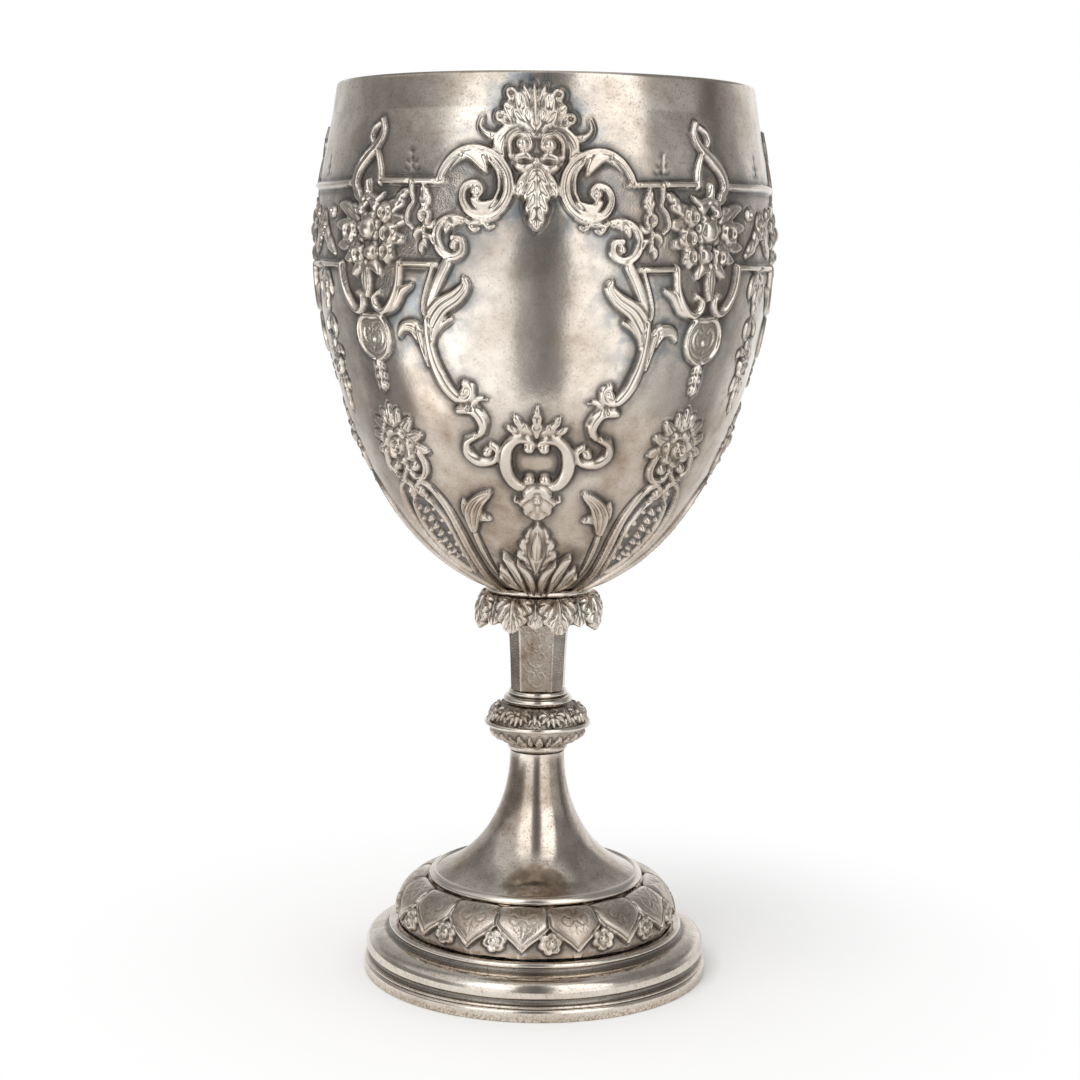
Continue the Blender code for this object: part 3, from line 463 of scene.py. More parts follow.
def volute_tail(p):
    """The leaf scroll that hangs from the volute beside the cartouche."""
    p.stroke([(11.4, 142.4), (16.4, 140.9), (21, 141), (26, 142)], 1.4, 1, taper=(0.3, 1))
    p.leaf([(16.6, 141.4), (14.6, 139.6), (12.6, 140.2)], 2.2, 0.8, lobes=1, ribs=0.1)
    p.leaf([(21.6, 141.2), (19.6, 138.8), (17.4, 139.4)], 2.4, 0.9, lobes=1, ribs=0.1)
    sweep = [(21.6, 141.6), (26.4, 142.4), (30.4, 140.6), (32.2, 136.6), (30.6, 132.2), (26.8, 130.4)]
    curl = [(23.4, 132.2), (23.6, 135.6), (26.4, 136.2)]
    p.stroke(sweep + curl, 2.9, 1.6, profile="strap", taper=(0.5, 0.7))
    p.acanthus([(23.4, 141), (27.4, 140.6), (29, 137.4)], 3.6, 1.1, lobes=2)
    p.bead((26.2, 133.9), 1.5, 1.6)


def band_sprays(p):
    """The small flowers and hooks in the band between cartouche and column."""
    p.stroke([(40.6, 153.2), (40.8, 150.4), (40.2, 147.2)], 1.7, 1.3, taper=(0.9, 0.7))
    p.acanthus([(36.2, 144.6), (35.8, 147.6), (36.2, 152)], 4.4, 1.2, lobes=2)
    p.ring((36.2, 142.6), 2.4, 1.3, 1.4)
    p.stroke([(40, 147), (42.4, 143.8), (42.6, 140.2), (40.4, 138.4)], 1.3, 1, taper=(0.8, 0.6))
    p.stroke([(36.4, 140.6), (36.6, 137), (35.8, 133.6)], 1.4, 1.1, taper=(0.9, 0.7))
    p.blade([(36.4, 140), (34, 139.4), (32.2, 141.2)], 2.4, 1.1)
    p.blade([(36.4, 138.6), (38.8, 138), (40, 135.6)], 2.4, 1.1)
    p.blade([(36.2, 137), (33.8, 136), (32.8, 133.6)], 2.4, 1.1)
    p.blade([(36, 135), (37.6, 133.4), (37.4, 131)], 2.2, 1)
    p.acanthus([(41.6, 150.6), (45.2, 148.4), (47.4, 145)], 3.2, 1, lobes=3)


def finial(p, x, s):
    """A small engraved sprig standing on a strap."""
    depth, dark = 0.12, 1.3
    p.groove([(x, s), (x, s + 3), (x, s + 6)], 0.9, depth, dark)
    for side in (-1, 1):
        p.groove([(x, s + 1.4), (x + side * 1.6, s + 0.2), (x + side * 2.6, s + 1)], 1, depth, dark)
        p.groove([(x, s + 3.4), (x + side * 1.2, s + 2.6), (x + side * 1.8, s + 3.4)], 0.9, depth, dark)
    p.groove([(x - 0.3, s + 6.4), (x, s + 6.6), (x + 0.3, s + 6.4)], 1.5, depth, dark)


def frame_side(p):
    """The cartouche's frame: a flat ribbon, a broad stem, an inner and an outer leaf and the lower volute."""
    ribbon = [(28.9, 128.4), (31.8, 122.6), (33.8, 116.8), (34.6, 111)]
    p.stroke(ribbon, 3.4, 0.7, profile="flat", taper=(1, 0.7))
    p.stroke([(33.2, 127.6), (35.2, 121.6), (36.5, 115.8), (36, 111)], 1.2, 1.4, taper=(1, 0.8))
    p.blade([(34.4, 97), (36, 103.4), (39.4, 108.2), (43.8, 108.6), (45.8, 105.4)], 5.2, 1.4, veins=1)
    p.blade([(35, 98), (36.6, 103.6), (38.6, 108.6)], 3, 1.6)
    p.blade([(34.6, 103), (31.6, 108.6), (26.6, 111.6)], 3.4, 1.3)
    inner_leaf = [(34.2, 101), (33.8, 108.6), (30.6, 114.6), (25.4, 118.4), (22.6, 122), (23.4, 124.6)]
    p.blade(inner_leaf, 7, 1.6, veins=1)
    sweep = [(35.2, 111.4), (34.4, 104.8), (33, 98.8), (30.8, 93.6), (27.6, 88.8), (24, 86), (20.6, 86.8)]
    p.stroke(sweep + [(20.2, 90), (22.8, 91.2)], 4.1, 1.8, taper=(0.55, 0.5))
    p.bead((22.6, 88.6), 1.6, 2.1)


def lower_scroll(p):
    """The figure-three scroll between the frame and the facing scrolls."""
    p.stroke([(24.2, 84.6), (19, 84.6), (15.2, 79.8), (15.8, 74.6)], 0.8, 0.5)
    upper = [(24.6, 82.6), (19.8, 82.4), (16.8, 78.4), (18.2, 74.6), (22.6, 73.2)]
    lower = [(19.6, 73.9), (22.4, 71.6), (21.8, 67.8), (18, 65.2), (13.6, 65.8), (12, 69), (14.4, 71.2)]
    p.stroke(upper, 3.6, 1.7, taper=(0.8, 0.6))
    p.stroke(lower, 3.4, 1.7, taper=(0.8, 0.6))
    p.leaf([(21, 83.2), (18.4, 86), (15, 86.2)], 2.6, 0.9, lobes=2, ribs=0.15)
    p.bead((15.6, 68.8), 1.8, 1.8)


def facing_scrolls(p):
    """One of the two scrolls that face each other below the cartouche, with palmette and drop."""
    p.ground([(-7, 61), (-7, 70), (0, 72), (7, 70), (7.2, 61), (0, 60)], 0.2, 1)
    p.acanthus([(1.4, 74.6), (5.4, 75.4), (9.6, 77.8)], 3.4, 1, lobes=2)
    p.acanthus([(1.2, 75.2), (4.6, 77.6), (7.2, 81.6)], 3.6, 1.1, lobes=2)
    p.acanthus([(0, 74.6), (0, 79), (0, 85)], 4.2, 1.3, lobes=3)
    sweep = [(1.6, 71.4), (3.4, 73.6), (6.6, 73.2), (9.2, 70.2), (9.9, 65.4), (8.6, 60.2)]
    p.stroke(sweep + [(5.6, 56.9), (2.2, 57)], 4.7, 2, taper=(0.75, 0.75))
    p.bead((2.3, 70.6), 2, 2.2)
    p.bead((2.5, 59.2), 2.1, 2.3)
    p.stroke([(2.4, 51.6), (5.2, 50.4), (7.2, 51.2), (7, 52.6)], 1.3, 1, taper=(1, 0.7))
    p.acanthus([(0, 53.2), (0, 49), (0, 43.8)], 12.6, 1.5, lobes=2, base=0.9, tooth=0.24)
    p.bead((0, 51.4), 1.5, 1.8)


def calyx(p):
    """The leaves that climb from the bowl's foot in front: a bud between two broad folded leaves."""
    leaf = [(0, 0), (6, 2), (9.6, 8), (10.6, 14), (9.8, 20), (7, 24), (4.4, 22.4), (2.4, 19.6), (0, 18.6)]
    p.dome(leaf, 0.8, shoulder=1.2)
    for x, s, width in ((9.8, 4.8, 3.4), (11.6, 9.2, 4.2), (12.8, 14.6, 4.8), (12.2, 20.4, 5)):
        p.blade([(x * 0.30, s * 0.08), (x * 0.66, s * 0.48), (x, s)], width, 1.8)
    p.blade([(2.8, 0.4), (4.6, 10), (7, 19), (10.6, 27.6)], 5.6, 2.4, base=0.5)
    p.blade([(1.2, 0.4), (1.9, 9), (3.2, 16.6), (6, 24.2)], 4.4, 2.1, base=0.7)
    p.acanthus([(0, 19), (0, 30), (0, 41.6)], 13.4, 1.2, lobes=4, base=0.3, tooth=0.3)
    p.blade([(0, 18), (0, 30.6), (0, 43)], 6.6, 1.6, base=0.25)
    p.blade([(0, 27.6), (0, 33.2), (0, 39.8)], 4, 2.7, base=0.8)


def sprig(p):
    """The leaf of three lobes that springs beside each column of flowers."""
    p.stroke([(13.8, 14), (17.8, 27), (20.2, 36), (20.2, 42.6)], 1.7, 1, taper=(0.3, 1))
    p.blade([(20, 40.6), (17.8, 43.4), (14.2, 42.8)], 4.4, 1.2)
    p.blade([(20.4, 40), (22.6, 45), (24, 50.6)], 4.6, 1.2)
    p.blade([(20.2, 38), (20.6, 45), (19, 50), (14.6, 54.6)], 7.2, 1.6, veins=1)


def cartouche(p):
    """Everything on one side of a cartouche's axis."""
    crest(p)
    volute(p)
    volute_tail(p)
    band_sprays(p)
    frame_side(p)
    lower_scroll(p)
    facing_scrolls(p)
    calyx(p)
    sprig(p)
    finial(p, 40.4, 156)


def loop(p):
    """The ogee loop that crosses over itself above a column."""
    eye = [(-4.4, 151.5), (-4.2, 157), (-2, 161.6), (1.5, 160.6), (6, 156), (6.4, 151.5)]
    p.ground(eye, 0.3, 1, 0.8)
    p.ground([(-3.6, 165.4), (-2.8, 170.8), (0, 168.8), (0.4, 165.6)], 0.15, 1, 0.7)
    p.blade([(0, 147.6), (0.7, 150.8), (0.7, 154)], 3.4, 1.2, base=0.8)
    p.stroke([(-4.8, 152.6), (-4.6, 156.4), (-3.2, 160.4), (-1.6, 163.2)], 2, 1.2, taper=(1, 0.8))
    p.stroke([(-3.2, 172.2), (0.2, 169.8), (1.2, 166.8), (0, 164.8)], 1.9, 1.1, taper=(0.4, 0.9))
    strap = [(4.8, 149.2), (7.2, 152.6), (6, 157), (2, 161.2), (-2.4, 164.8), (-4.4, 168.4), (-3.2, 172.4)]
    p.stroke(strap, 3.5, 1.7, profile="strap", taper=(0.7, 0.4))


def leaf_fan(p, centre, tips, width, height, start, bend):
    """Veined leaves fanned out to these tips from the axis; start and bend are shares of the rise."""
    for x, s in tips:
        rise = s - centre
        spine = [(x * 0.3, centre + rise * start), (x * 0.7, centre + rise * bend), (x, s)]
        p.blade(spine, width, height, veins=1)


def bouquet(p):
    """Flowers and leaves in the band, hanging below the loop."""
    p.ground([(-17, 148), (0, 151), (17, 148), (18, 134), (12, 129), (-12, 129), (-18, 134)], 0.15, 1, 0.85)
    left = [(-15.8, 146.6), (-17, 141.2), (-15.8, 135.2), (-11.6, 129.6)]
    right = [(15.8, 146.6), (17.4, 140.4), (16, 133.8), (11.6, 129.4)]
    leaf_fan(p, 139, left + right, 5, 0.9, start=0.3, bend=0.85)
    for _ in p.halves():
        p.leaf([(0.6, 149), (3.8, 147.6), (7.4, 149.4)], 3, 1.1, lobes=1, ribs=0.1)
        p.acanthus([(1, 146.6), (4.6, 144.8), (9, 146.4)], 3.6, 1, lobes=2)
    flowers = (-9, 137, 2.9), (-7.4, 143.2, 2.5), (9.2, 138.4, 3.1), (4.2, 131, 2.7), (-8.4, 131.4, 2.5)
    for x, s, radius in flowers:
        p.rosette((x, s), radius * 1.5, 0.9, petals=6, turn=20)
        p.ring((x, s), radius, 1.3, 1.6)
    p.rosette((-0.6, 138.8), 5.8, 1.2, petals=7, turn=10)
    p.bead((-0.6, 138.8), 3.5, 2.6)
    p.rosette((-2.2, 131.4), 4.2, 1, petals=6)
    p.bead((-2.2, 131.4), 2.5, 2.1)
    p.bead((3.2, 144.4), 1.7, 1.4)


def pendant(p):
    """The lower strap's two hanging curls, the trefoil between them and the medallion below."""
    p.ground([(-13.4, 129), (13.4, 129), (13, 121), (10, 116), (0, 113), (-10, 116), (-13, 121)], 0.4, 1, 0.5)
    p.blade([(-5.6, 112.6), (-10.8, 115.6), (-14.4, 119.6), (-18.6, 121.6)], 4.4, 1.2)
    curl = [(14, 128), (13.2, 121.6), (10.4, 116.4), (6.6, 113.4), (3.4, 114.6), (2.8, 117.6), (5, 119.2)]
    for _ in p.halves():
        p.stroke(curl, 2.5, 1.7, taper=(0.9, 0.7))
        p.blade([(0.4, 126.8), (3.4, 127.4), (6.6, 124.4)], 4.4, 1.5)
    p.blade([(0, 128.4), (0, 123.4), (0, 117.4)], 4.6, 1.7, veins=1)
    medallion = mirrored([(0, 98), (4.6, 99.8), (7, 103.4), (7, 108), (4.4, 111.6), (0, 111.8)])
    p.dome(medallion, 0.45, shoulder=0.6)
    p.matted(shrunk(medallion, 105.2, 0.8), 0.9)
    p.stroke(medallion, 1.3, 1.4, closed=True)
    for _ in p.halves():
        scroll = [(0.4, 101.6), (3.4, 103.2), (4.6, 106.2), (3, 108.8), (1.2, 107.6)]
        p.stroke(scroll, 0.9, 1, taper=(0.5, 0.8))
    p.bead((0, 104.6), 1.1, 1)
    for s, width in ((97.4, 3.8), (94.2, 4.4), (91, 3)):
        for _ in p.halves():
            p.blade([(0, s), (width * 0.3, s - 1.4), (width * 0.5, s - 2.8)], 1.9, 0.9)
        p.blade([(0, s), (0, s - 2), (0, s - 3.6)], 1.8, 1.1, base=0.8)


def bunch(p):
    """The bunch of flowers on the lower half of a column."""
    upper = [(-3.6, 81.4), (4.2, 80.8), (-8.6, 78.6), (9.2, 78)]
    lower = [(-12, 73.6), (12.4, 72.6), (-12.8, 67.4), (13, 66.6)]
    leaf_fan(p, 69, upper + lower, 4.8, 1, start=0.35, bend=0.75)
    p.acanthus([(0, 72), (0.2, 77), (0, 83)], 4.2, 1.2, lobes=2)
    cup = [(8.4, 66.6), (9.4, 62), (7.2, 58.2), (3.2, 57.4), (1, 59.6)]
    for _ in p.halves():
        p.stroke(cup, 2.4, 1.7, profile="strap", taper=(0.7, 0.7))
        p.bead((4.6, 61.6), 2, 1.7)
    p.bead((0, 61.4), 1.6, 1.4)
    p.rosette((0, 68.8), 7.6, 1.6, petals=7, turn=15)
    p.ring((0, 68.8), 3, 1.5, 2.2)
    p.bead((0, 68.8), 1.3, 2)


def basket(p):
    """The long panel below the bunch: two strands round a matted ground with a row of pearls."""
    panel = [(-9.6, 46), (-6, 52), (6, 52), (9.6, 46), (9, 34), (6, 20), (0, 8), (-6, 20), (-9, 34)]
    p.ground(panel, 0.4, 1.4, 1.4)
    strand = [(1.6, 0.6), (5, 13), (8.2, 25), (10.6, 37), (10.8, 46), (8.2, 53), (4, 55.6), (0.9, 53.4)]
    for _ in p.halves():
        p.stroke(strand + [(1.6, 50.8), (3.4, 50.6)], 2.6, 1.6, profile="strap", taper=(0.7, 0.6))
        p.bead((2.6, 52.4), 1.4, 1.6)
        p.stroke([(1.2, 14), (4, 22), (5.8, 31), (6.8, 39), (5.4, 46.4), (3, 49.4)], 1.5, 0.9)
        for place in ((3.4, 24.4), (4.3, 30), (5, 35.4), (5, 40.6), (3.8, 45.2)):
            p.bead(place, 1.2, 0.8)
    heights = (44.6, 41.2, 37.9, 34.7, 31.7, 28.8, 26, 23.3)
    for s, radius in zip(heights, (1.3, 1.3, 1.25, 1.2, 1.1, 1.05, 1, 0.9)):
        p.bead((0, s), radius, 1.3 * radius)


def column(p):
    """A column of flowers from the rim zone to the foot of the bowl."""
    loop(p)
    bouquet(p)
    pendant(p)
    basket(p)
    bunch(p)


def hanging_drop(p):
    """The small drop of flowers that hangs between two columns."""
    p.acanthus([(0, 126.6), (0, 121), (0, 112.6)], 6, 1.1, lobes=3)
    for _ in p.halves():
        p.acanthus([(0, 126), (4.4, 123), (5.6, 117.6)], 3.8, 1, lobes=2)
        p.stroke([(0.8, 111.6), (3.6, 109.6), (4, 106), (1.6, 104.4)], 1.4, 1, taper=(0.6, 0.6))
        p.acanthus([(0, 99), (4, 100.6), (6.4, 98.4)], 3, 0.9, lobes=2)
        p.acanthus([(0, 92.6), (3, 90.8), (4.4, 86.8)], 3, 0.9, lobes=2)
    p.leaf([(0, 104.4), (0, 102), (0, 98.4)], 2.8, 0.9, lobes=1, ribs=0.1)
    p.rosette((0, 95.4), 4, 1.5, petals=5, turn=18)
    p.acanthus([(0, 91.6), (0, 86), (0, 79.6)], 4, 1, lobes=3)
    for _ in p.halves():
        p.acanthus([(10.4, 131.6), (4, 137), (1, 145.6)], 5, 0.9, lobes=3)
    p.rosette((0, 140), 3.8, 1.4, petals=6)
    for _ in p.halves():
        p.ring((8.6, 144.6), 2, 1.1, 1.1)
    finial(p, 0, 156)


def straps(p):
    """The two level straps between the volutes, loops and pendants; the columns cut gaps in them."""
    step = math.radians(PITCH)
    for s, cartouche_end, left, right in ((STRAP_HIGH, 29.2, 4.4, 7.4), (STRAP_LOW, 32.6, 14, 14)):
        radius = np.interp(s, p.arc, p.radius)
        ends = [cartouche_end / radius]
        for k, (before, after) in enumerate(((left, right), (left, right), (right, left)), 1):
            ends += [k * step - before / radius, k * step + after / radius]
        ends.append(math.pi - cartouche_end / radius)
        for start, end in zip(ends[::2], ends[1::2]):
            p.axis, p.flip = (start + end) / 2, 1.0
            reach = (end - start) / 2 * radius
            p.stroke([(-reach, s), (0, s), (reach, s)], 2.1, 1.4, profile="flat")


def band_ground(p):
    """The matted ground of the band, from one cartouche round to the other."""
    reach = math.radians(90) * np.interp(140, p.arc, p.radius) * 1.01
    side = [(21, 151.2), (25, 144.5), (31.5, 141.5), (32, 134), (29.5, 129.4), (reach, 129.4), (reach, 151.2)]
    for degrees, flip in ((0, 1), (180, -1)):
        p.at(degrees, flip).ground(side, 0.12, 0.75, 0.3)


def bowl_relief(p):
    band_ground(p)
    straps(p)
    for degrees, flip in ((PITCH, 1), (2 * PITCH, 1), (3 * PITCH, -1)):
        column(p.at(degrees, flip))
    for degrees in (1.5 * PITCH, 2.5 * PITCH):
        hanging_drop(p.at(degrees))
    cartouche(p.at(0))
    cartouche(p.at(180, -1))


def drawn(draw, line, first, last, step):
    """A panel from one azimuth in degrees to another, with the ornament drawn on it."""
    lengths = arc_lengths(line)
    rows = np.arange(0, lengths[-1] + step, step)
    radius = np.interp(rows, lengths, line[:, 0])
    degrees = math.degrees(step / radius.max()) * 0.8
    panel = Panel(rows, radius, np.radians(np.arange(first, last + degrees, degrees)))
    draw(panel)
    panel.settle()
    return panel


def sampled(sheet, azimuth, s):
    """The sheet's height, matting, tarnish and painted shade, and clear distance at these azimuths and arc
    lengths.
    """
    row = s / (sheet.arc[1] - sheet.arc[0])
    column = (azimuth - sheet.turn[0]) / (sheet.turn[1] - sheet.turn[0])
    return [looked_up(field, row, column) for field in (sheet.height, sheet.matt, sheet.tarnish_and_shade, sheet.clear)]


def azimuths(columns):
    return 2 * math.pi * np.arange(columns) / columns - math.pi


BOWL_COLUMNS = 1440 if fine else 720
BOWL_STEP = 0.36 if fine else 0.7
DRAWING_STEP = 0.36
ORNAMENT_SHIFT = 0.3  # how far the ornament's axis stands off the bowl's front at the foot, in mm
ORNAMENT_LEAN = 0.0147  # how far it moves on round the bowl for each mm up the wall


def bowl_fields(line):
    """Relief height, matting, and tarnish and painted shade all round the bowl, with the small unevenness of
    handwork.
    """
    sheet = drawn(bowl_relief, line, -4, 184, DRAWING_STEP)
    s = arc_lengths(line)[:, None]
    radius = line[:, :1]
    azimuth = azimuths(BOWL_COLUMNS)
    lean = (ORNAMENT_SHIFT + ORNAMENT_LEAN * s) / radius
    shift = 0.35 * np.sin(3 * azimuth + 1.3 + s / 31) + 0.25 * np.sin(7 * azimuth + s / 9)
    climb = 0.35 * np.sin(4 * azimuth + 0.7) + 0.2 * np.sin(9 * azimuth + s / 13)
    folded = np.abs((azimuth + lean + shift / radius + math.pi) % (2 * math.pi) - math.pi)
    return sampled(sheet, folded, s + climb)[:3]


def planished(azimuth, s):
    """The faint waviness that raising and planishing leave, in mm."""
    return (
        0.030 * np.sin(5 * azimuth + s / 17 + 0.4)
        + 0.022 * np.sin(11 * azimuth - s / 11 + 2.1)
        + 0.014 * np.sin(23 * azimuth + s / 5.5)
        + 0.010 * np.sin(37 * azimuth - s / 4.1 + 1.0)
    )


# Meshes


def wrapped(radius, azimuth, height):
    """Grid points from cylinder coordinates."""
    height = np.broadcast_to(height, radius.shape)
    return np.dstack([radius * np.sin(azimuth), -radius * np.cos(azimuth), height])


def revolved(name, line, columns, offsets=0.0, fields=None, closed=True, sharp=None):
    """A mesh object spun from a profile; offsets move its points along their normals, in mm."""
    out = normals(line)
    offsets = np.broadcast_to(offsets, (len(line), columns))
    radius = line[:, :1] + out[:, :1] * offsets
    height = line[:, 1:] + out[:, 1:] * offsets
    return grid_object(name, wrapped(radius, azimuths(columns), height), closed, fields, sharp)


UNWRAP_ABOVE = 100000  # meshes with more faces than this get a flat layout for baking


def grid_object(name, points, closed, fields=None, sharp=None):
    """A mesh object from a grid of points in mm whose columns go once round the Z axis."""
    rows, columns = points.shape[:2]
    index = np.arange(rows * columns).reshape(rows, columns)
    lower, upper = (index, np.roll(index, -1, axis=0)) if closed else (index[:-1], index[1:])
    quads = np.stack([lower, np.roll(lower, -1, 1), np.roll(upper, -1, 1), upper], axis=-1).reshape(-1, 4)
    vertices = points.reshape(-1, 3) * MM
    loops = [quads.ravel()]
    sizes = [np.full(len(quads), 4)]
    if not closed:
        vertices = np.vstack([vertices, points[0].mean(axis=0) * MM, points[-1].mean(axis=0) * MM])
        first, last = index[0], index[-1]
        for pole, before, after in ((0, np.roll(first, -1), first), (1, last, np.roll(last, -1))):
            middle = np.full(columns, rows * columns + pole)
            loops.append(np.column_stack([middle, before, after]).ravel())
        sizes.append(np.full(2 * columns, 3))
    loops, sizes = np.concatenate(loops), np.concatenate(sizes)
    mesh = bpy.data.meshes.new(name)
    mesh.vertices.add(len(vertices))
    mesh.vertices.foreach_set("co", vertices.ravel())
    mesh.loops.add(len(loops))
    mesh.loops.foreach_set("vertex_index", loops)
    mesh.polygons.add(len(sizes))
    mesh.polygons.foreach_set("loop_start", np.concatenate([[0], np.cumsum(sizes)[:-1]]))
    mesh.update(calc_edges=True)
    mesh.shade_smooth()
    if sharp:
        mesh.set_sharp_from_angle(angle=math.radians(sharp))
    for key, values in (fields or {}).items():
        spread = np.zeros(len(vertices), np.float32)
        values = np.broadcast_to(values, (values.shape[0], columns))
        spread[: values.size] = values.ravel()
        mesh.attributes.new(key, "FLOAT", "POINT").data.foreach_set("value", spread)
    if len(sizes) > UNWRAP_ABOVE:
        wrap_uv(mesh, rows, columns, closed, len(quads))
    piece = bpy.data.objects.new(name, mesh)
    bpy.context.scene.collection.objects.link(piece)
    return piece


def wrap_uv(mesh, rows, columns, closed, quads):
    """Lays a big grid out flat as one strip, for baking its material."""
    steps = rows if closed else rows - 1
    left = np.tile(np.arange(columns) / columns, steps)
    low = np.repeat(np.arange(steps) / steps, columns)
    right, high = left + 1 / columns, low + 1 / steps
    corners = np.stack([left, low, right, low, right, high, left, high], axis=-1).reshape(-1, 2)
    flat = np.zeros((len(mesh.loops), 2), np.float32)
    flat[: quads * 4] = corners * 0.98 + 0.01
    mesh.uv_layers.new(name="OFBake").uv.foreach_set("vector", flat.ravel())


def dress(piece, node, material):
    """Stands a fine piece in for its CAD node."""
    piece.data.materials.append(material)
    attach(piece, "root")
    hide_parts(node)


# Materials


def node(tree, kind, inputs=None, **settings):
    """Adds a shader node; an input takes a value or another node's output."""
    added = tree.nodes.new(kind)
    for key, value in settings.items():
        setattr(added, key, value)
    for key, value in (inputs or {}).items():
        if isinstance(value, bpy.types.NodeSocket):
            tree.links.new(value, added.inputs[key])
        else:
            added.inputs[key].default_value = value
    return added


def sums(tree, operation, first, second, clamp=False):
    added = node(tree, "ShaderNodeMath", {0: first, 1: second}, operation=operation, use_clamp=clamp)
    return added.outputs[0]


def times(tree, first, second, clamp=False):
    return sums(tree, "MULTIPLY", first, second, clamp)


def plus(tree, first, second, clamp=False):
    return sums(tree, "ADD", first, second, clamp)


def mix(tree, factor, first, second, blend="MIX"):
    """Mixes two colours."""
    first, second = (c if isinstance(c, bpy.types.NodeSocket) else (*c, 1.0) for c in (first, second))
    inputs = {"Factor": factor, 6: first, 7: second}
    return node(tree, "ShaderNodeMix", inputs, data_type="RGBA", blend_type=blend).outputs[2]


def ranged(tree, value, low, high, to_low=0.0, to_high=1.0):
    """Maps a value from one range to another, smoothly and without leaving it."""
    inputs = {"Value": value, 1: low, 2: high, 3: to_low, 4: to_high}
    return node(tree, "ShaderNodeMapRange", inputs, interpolation_type="SMOOTHSTEP").outputs[0]


def noise(tree, place, scale, detail, roughness, distortion=0.0):
    inputs = dict(Vector=place, Scale=scale, Detail=detail, Roughness=roughness, Distortion=distortion)
    return node(tree, "ShaderNodeTexNoise", inputs).outputs[0]


def metal(name):
    """A new metallic material with its nodes, its shader and the place on the object in mm."""
    material = bpy.data.materials.new(name)
    material.use_nodes = True
    tree = material.node_tree
    shader = tree.nodes["Principled BSDF"].inputs
    shader["Metallic"].default_value = 1.0
    place = node(tree, "ShaderNodeTexCoord").outputs["Object"]
    place = node(tree, "ShaderNodeVectorMath", {0: place, 1: (1 / MM,) * 3}, operation="MULTIPLY").outputs[0]
    return material, tree, shader, place


CLEAN = (0.80, 0.73, 0.65)
RUBBED = (0.86, 0.80, 0.72)
TARNISH = (0.37, 0.285, 0.215)
DIRT = (0.080, 0.070, 0.062)
BLUE_FILM = (0.38, 0.41, 0.43)
# The dark tone of tarnish and painted shade round raised forms and in shaded grounds
TARNISH_AND_SHADE_TONE = (0.19, 0.185, 0.18)
BRASSY = (0.34, 0.262, 0.178)
FILM_ABOVE = 200.0  # height on the goblet, in mm
STEEL, DULL_STEEL = (0.50, 0.49, 0.47), (0.30, 0.27, 0.24)

# Depth in mm of the matting's punch marks, of the pits and of the metal's slow waves, at full strength
PUNCH_DEPTH, PIT_DEPTH, WAVE_DEPTH = 0.11, 0.010, 0.05
PUNCH_SCALE = 1.7


def silver(name, tarnish, speckle, roughness, brassy_below=None, speckle_above=None, brown_below=None):
    """Old silver: clean metal under brown tarnish, speckles, dirt in the chasing, tarnish and painted shade
    round raised forms, and rubbed heights.
    """
    material, tree, shader, place = metal(name)
    height = node(tree, "ShaderNodeSeparateXYZ", {0: place}).outputs[2]
    cavity, wear, matt, tarnish_and_shade, film = (
        node(tree, "ShaderNodeAttribute", attribute_name=key).outputs["Fac"]
        for key in ("cavity", "wear", "matt", "tarnish_and_shade", "film")
    )

    broad = noise(tree, place, 0.035, 3, 0.6, 0.4)
    clouds = noise(tree, place, 0.16, 4, 0.62)
    brown = times(tree, ranged(tree, broad, 0.35, 0.68), tarnish * 1.3)
    brown = plus(tree, brown, times(tree, ranged(tree, clouds, 0.42, 0.72), tarnish * 0.6), clamp=True)
    if brown_below is not None:
        low = times(tree, ranged(tree, height, brown_below - 18, brown_below, 1, 0), 0.3)
        brown = plus(tree, brown, low, clamp=True)
    colour = mix(tree, brown, CLEAN, TARNISH)

    grain = noise(tree, place, 1.35, 4, 0.74)
    coarse = noise(tree, place, 0.34, 3, 0.65)
    dots = times(tree, ranged(tree, grain, 0.49, 0.62), ranged(tree, coarse, 0.38, 0.58))
    share = speckle
    if speckle_above is not None:
        share = ranged(tree, height, speckle_above, speckle_above + 16, speckle, min(1.0, speckle * 1.7))
    dots = times(tree, dots, share, clamp=True)
    colour = mix(tree, dots, colour, TARNISH, "MULTIPLY")

    film = times(tree, film, ranged(tree, height, FILM_ABOVE, FILM_ABOVE + 20))
    film = times(tree, film, ranged(tree, clouds, 0.40, 0.62), clamp=True)
    # Tarnish and painted shade round raised forms and in shaded grounds and grooves
    dark = times(tree, tarnish_and_shade, ranged(tree, clouds, 0.35, 0.60, 0.40, 0.85), clamp=True)
    for factor, tone in (
        (film, BLUE_FILM),
        (times(tree, matt, 0.45), TARNISH),
        (dark, TARNISH_AND_SHADE_TONE),
        (times(tree, cavity, 0.86, clamp=True), DIRT),
        (times(tree, wear, 0.35, clamp=True), RUBBED),
    ):
        colour = mix(tree, factor, colour, tone)
    if brassy_below is not None:
        rubbed = ranged(tree, height, 0, brassy_below, 1, 0)
        rubbed = times(tree, rubbed, ranged(tree, grain, 0.40, 0.60), clamp=True)
        colour = mix(tree, rubbed, colour, BRASSY)
    tree.links.new(colour, shader["Base Color"])

    rough = roughness
    for part, amount in ((brown, 0.12), (dots, 0.18), (matt, 0.16), (cavity, 0.22), (wear, 0.05)):
        rough = plus(tree, rough, times(tree, part, amount))
    tree.links.new(rough, shader["Roughness"])

    punch = node(tree, "ShaderNodeTexVoronoi", {"Vector": place, "Scale": PUNCH_SCALE}).outputs["Distance"]
    relief = times(tree, times(tree, punch, matt), PUNCH_DEPTH)
    relief = plus(tree, relief, times(tree, grain, PIT_DEPTH))
    relief = plus(tree, relief, times(tree, clouds, WAVE_DEPTH))
    bump = node(tree, "ShaderNodeBump", {"Height": relief, "Strength": 1.0, "Distance": MM}).outputs[0]
    tree.links.new(bump, shader["Normal"])
    return material


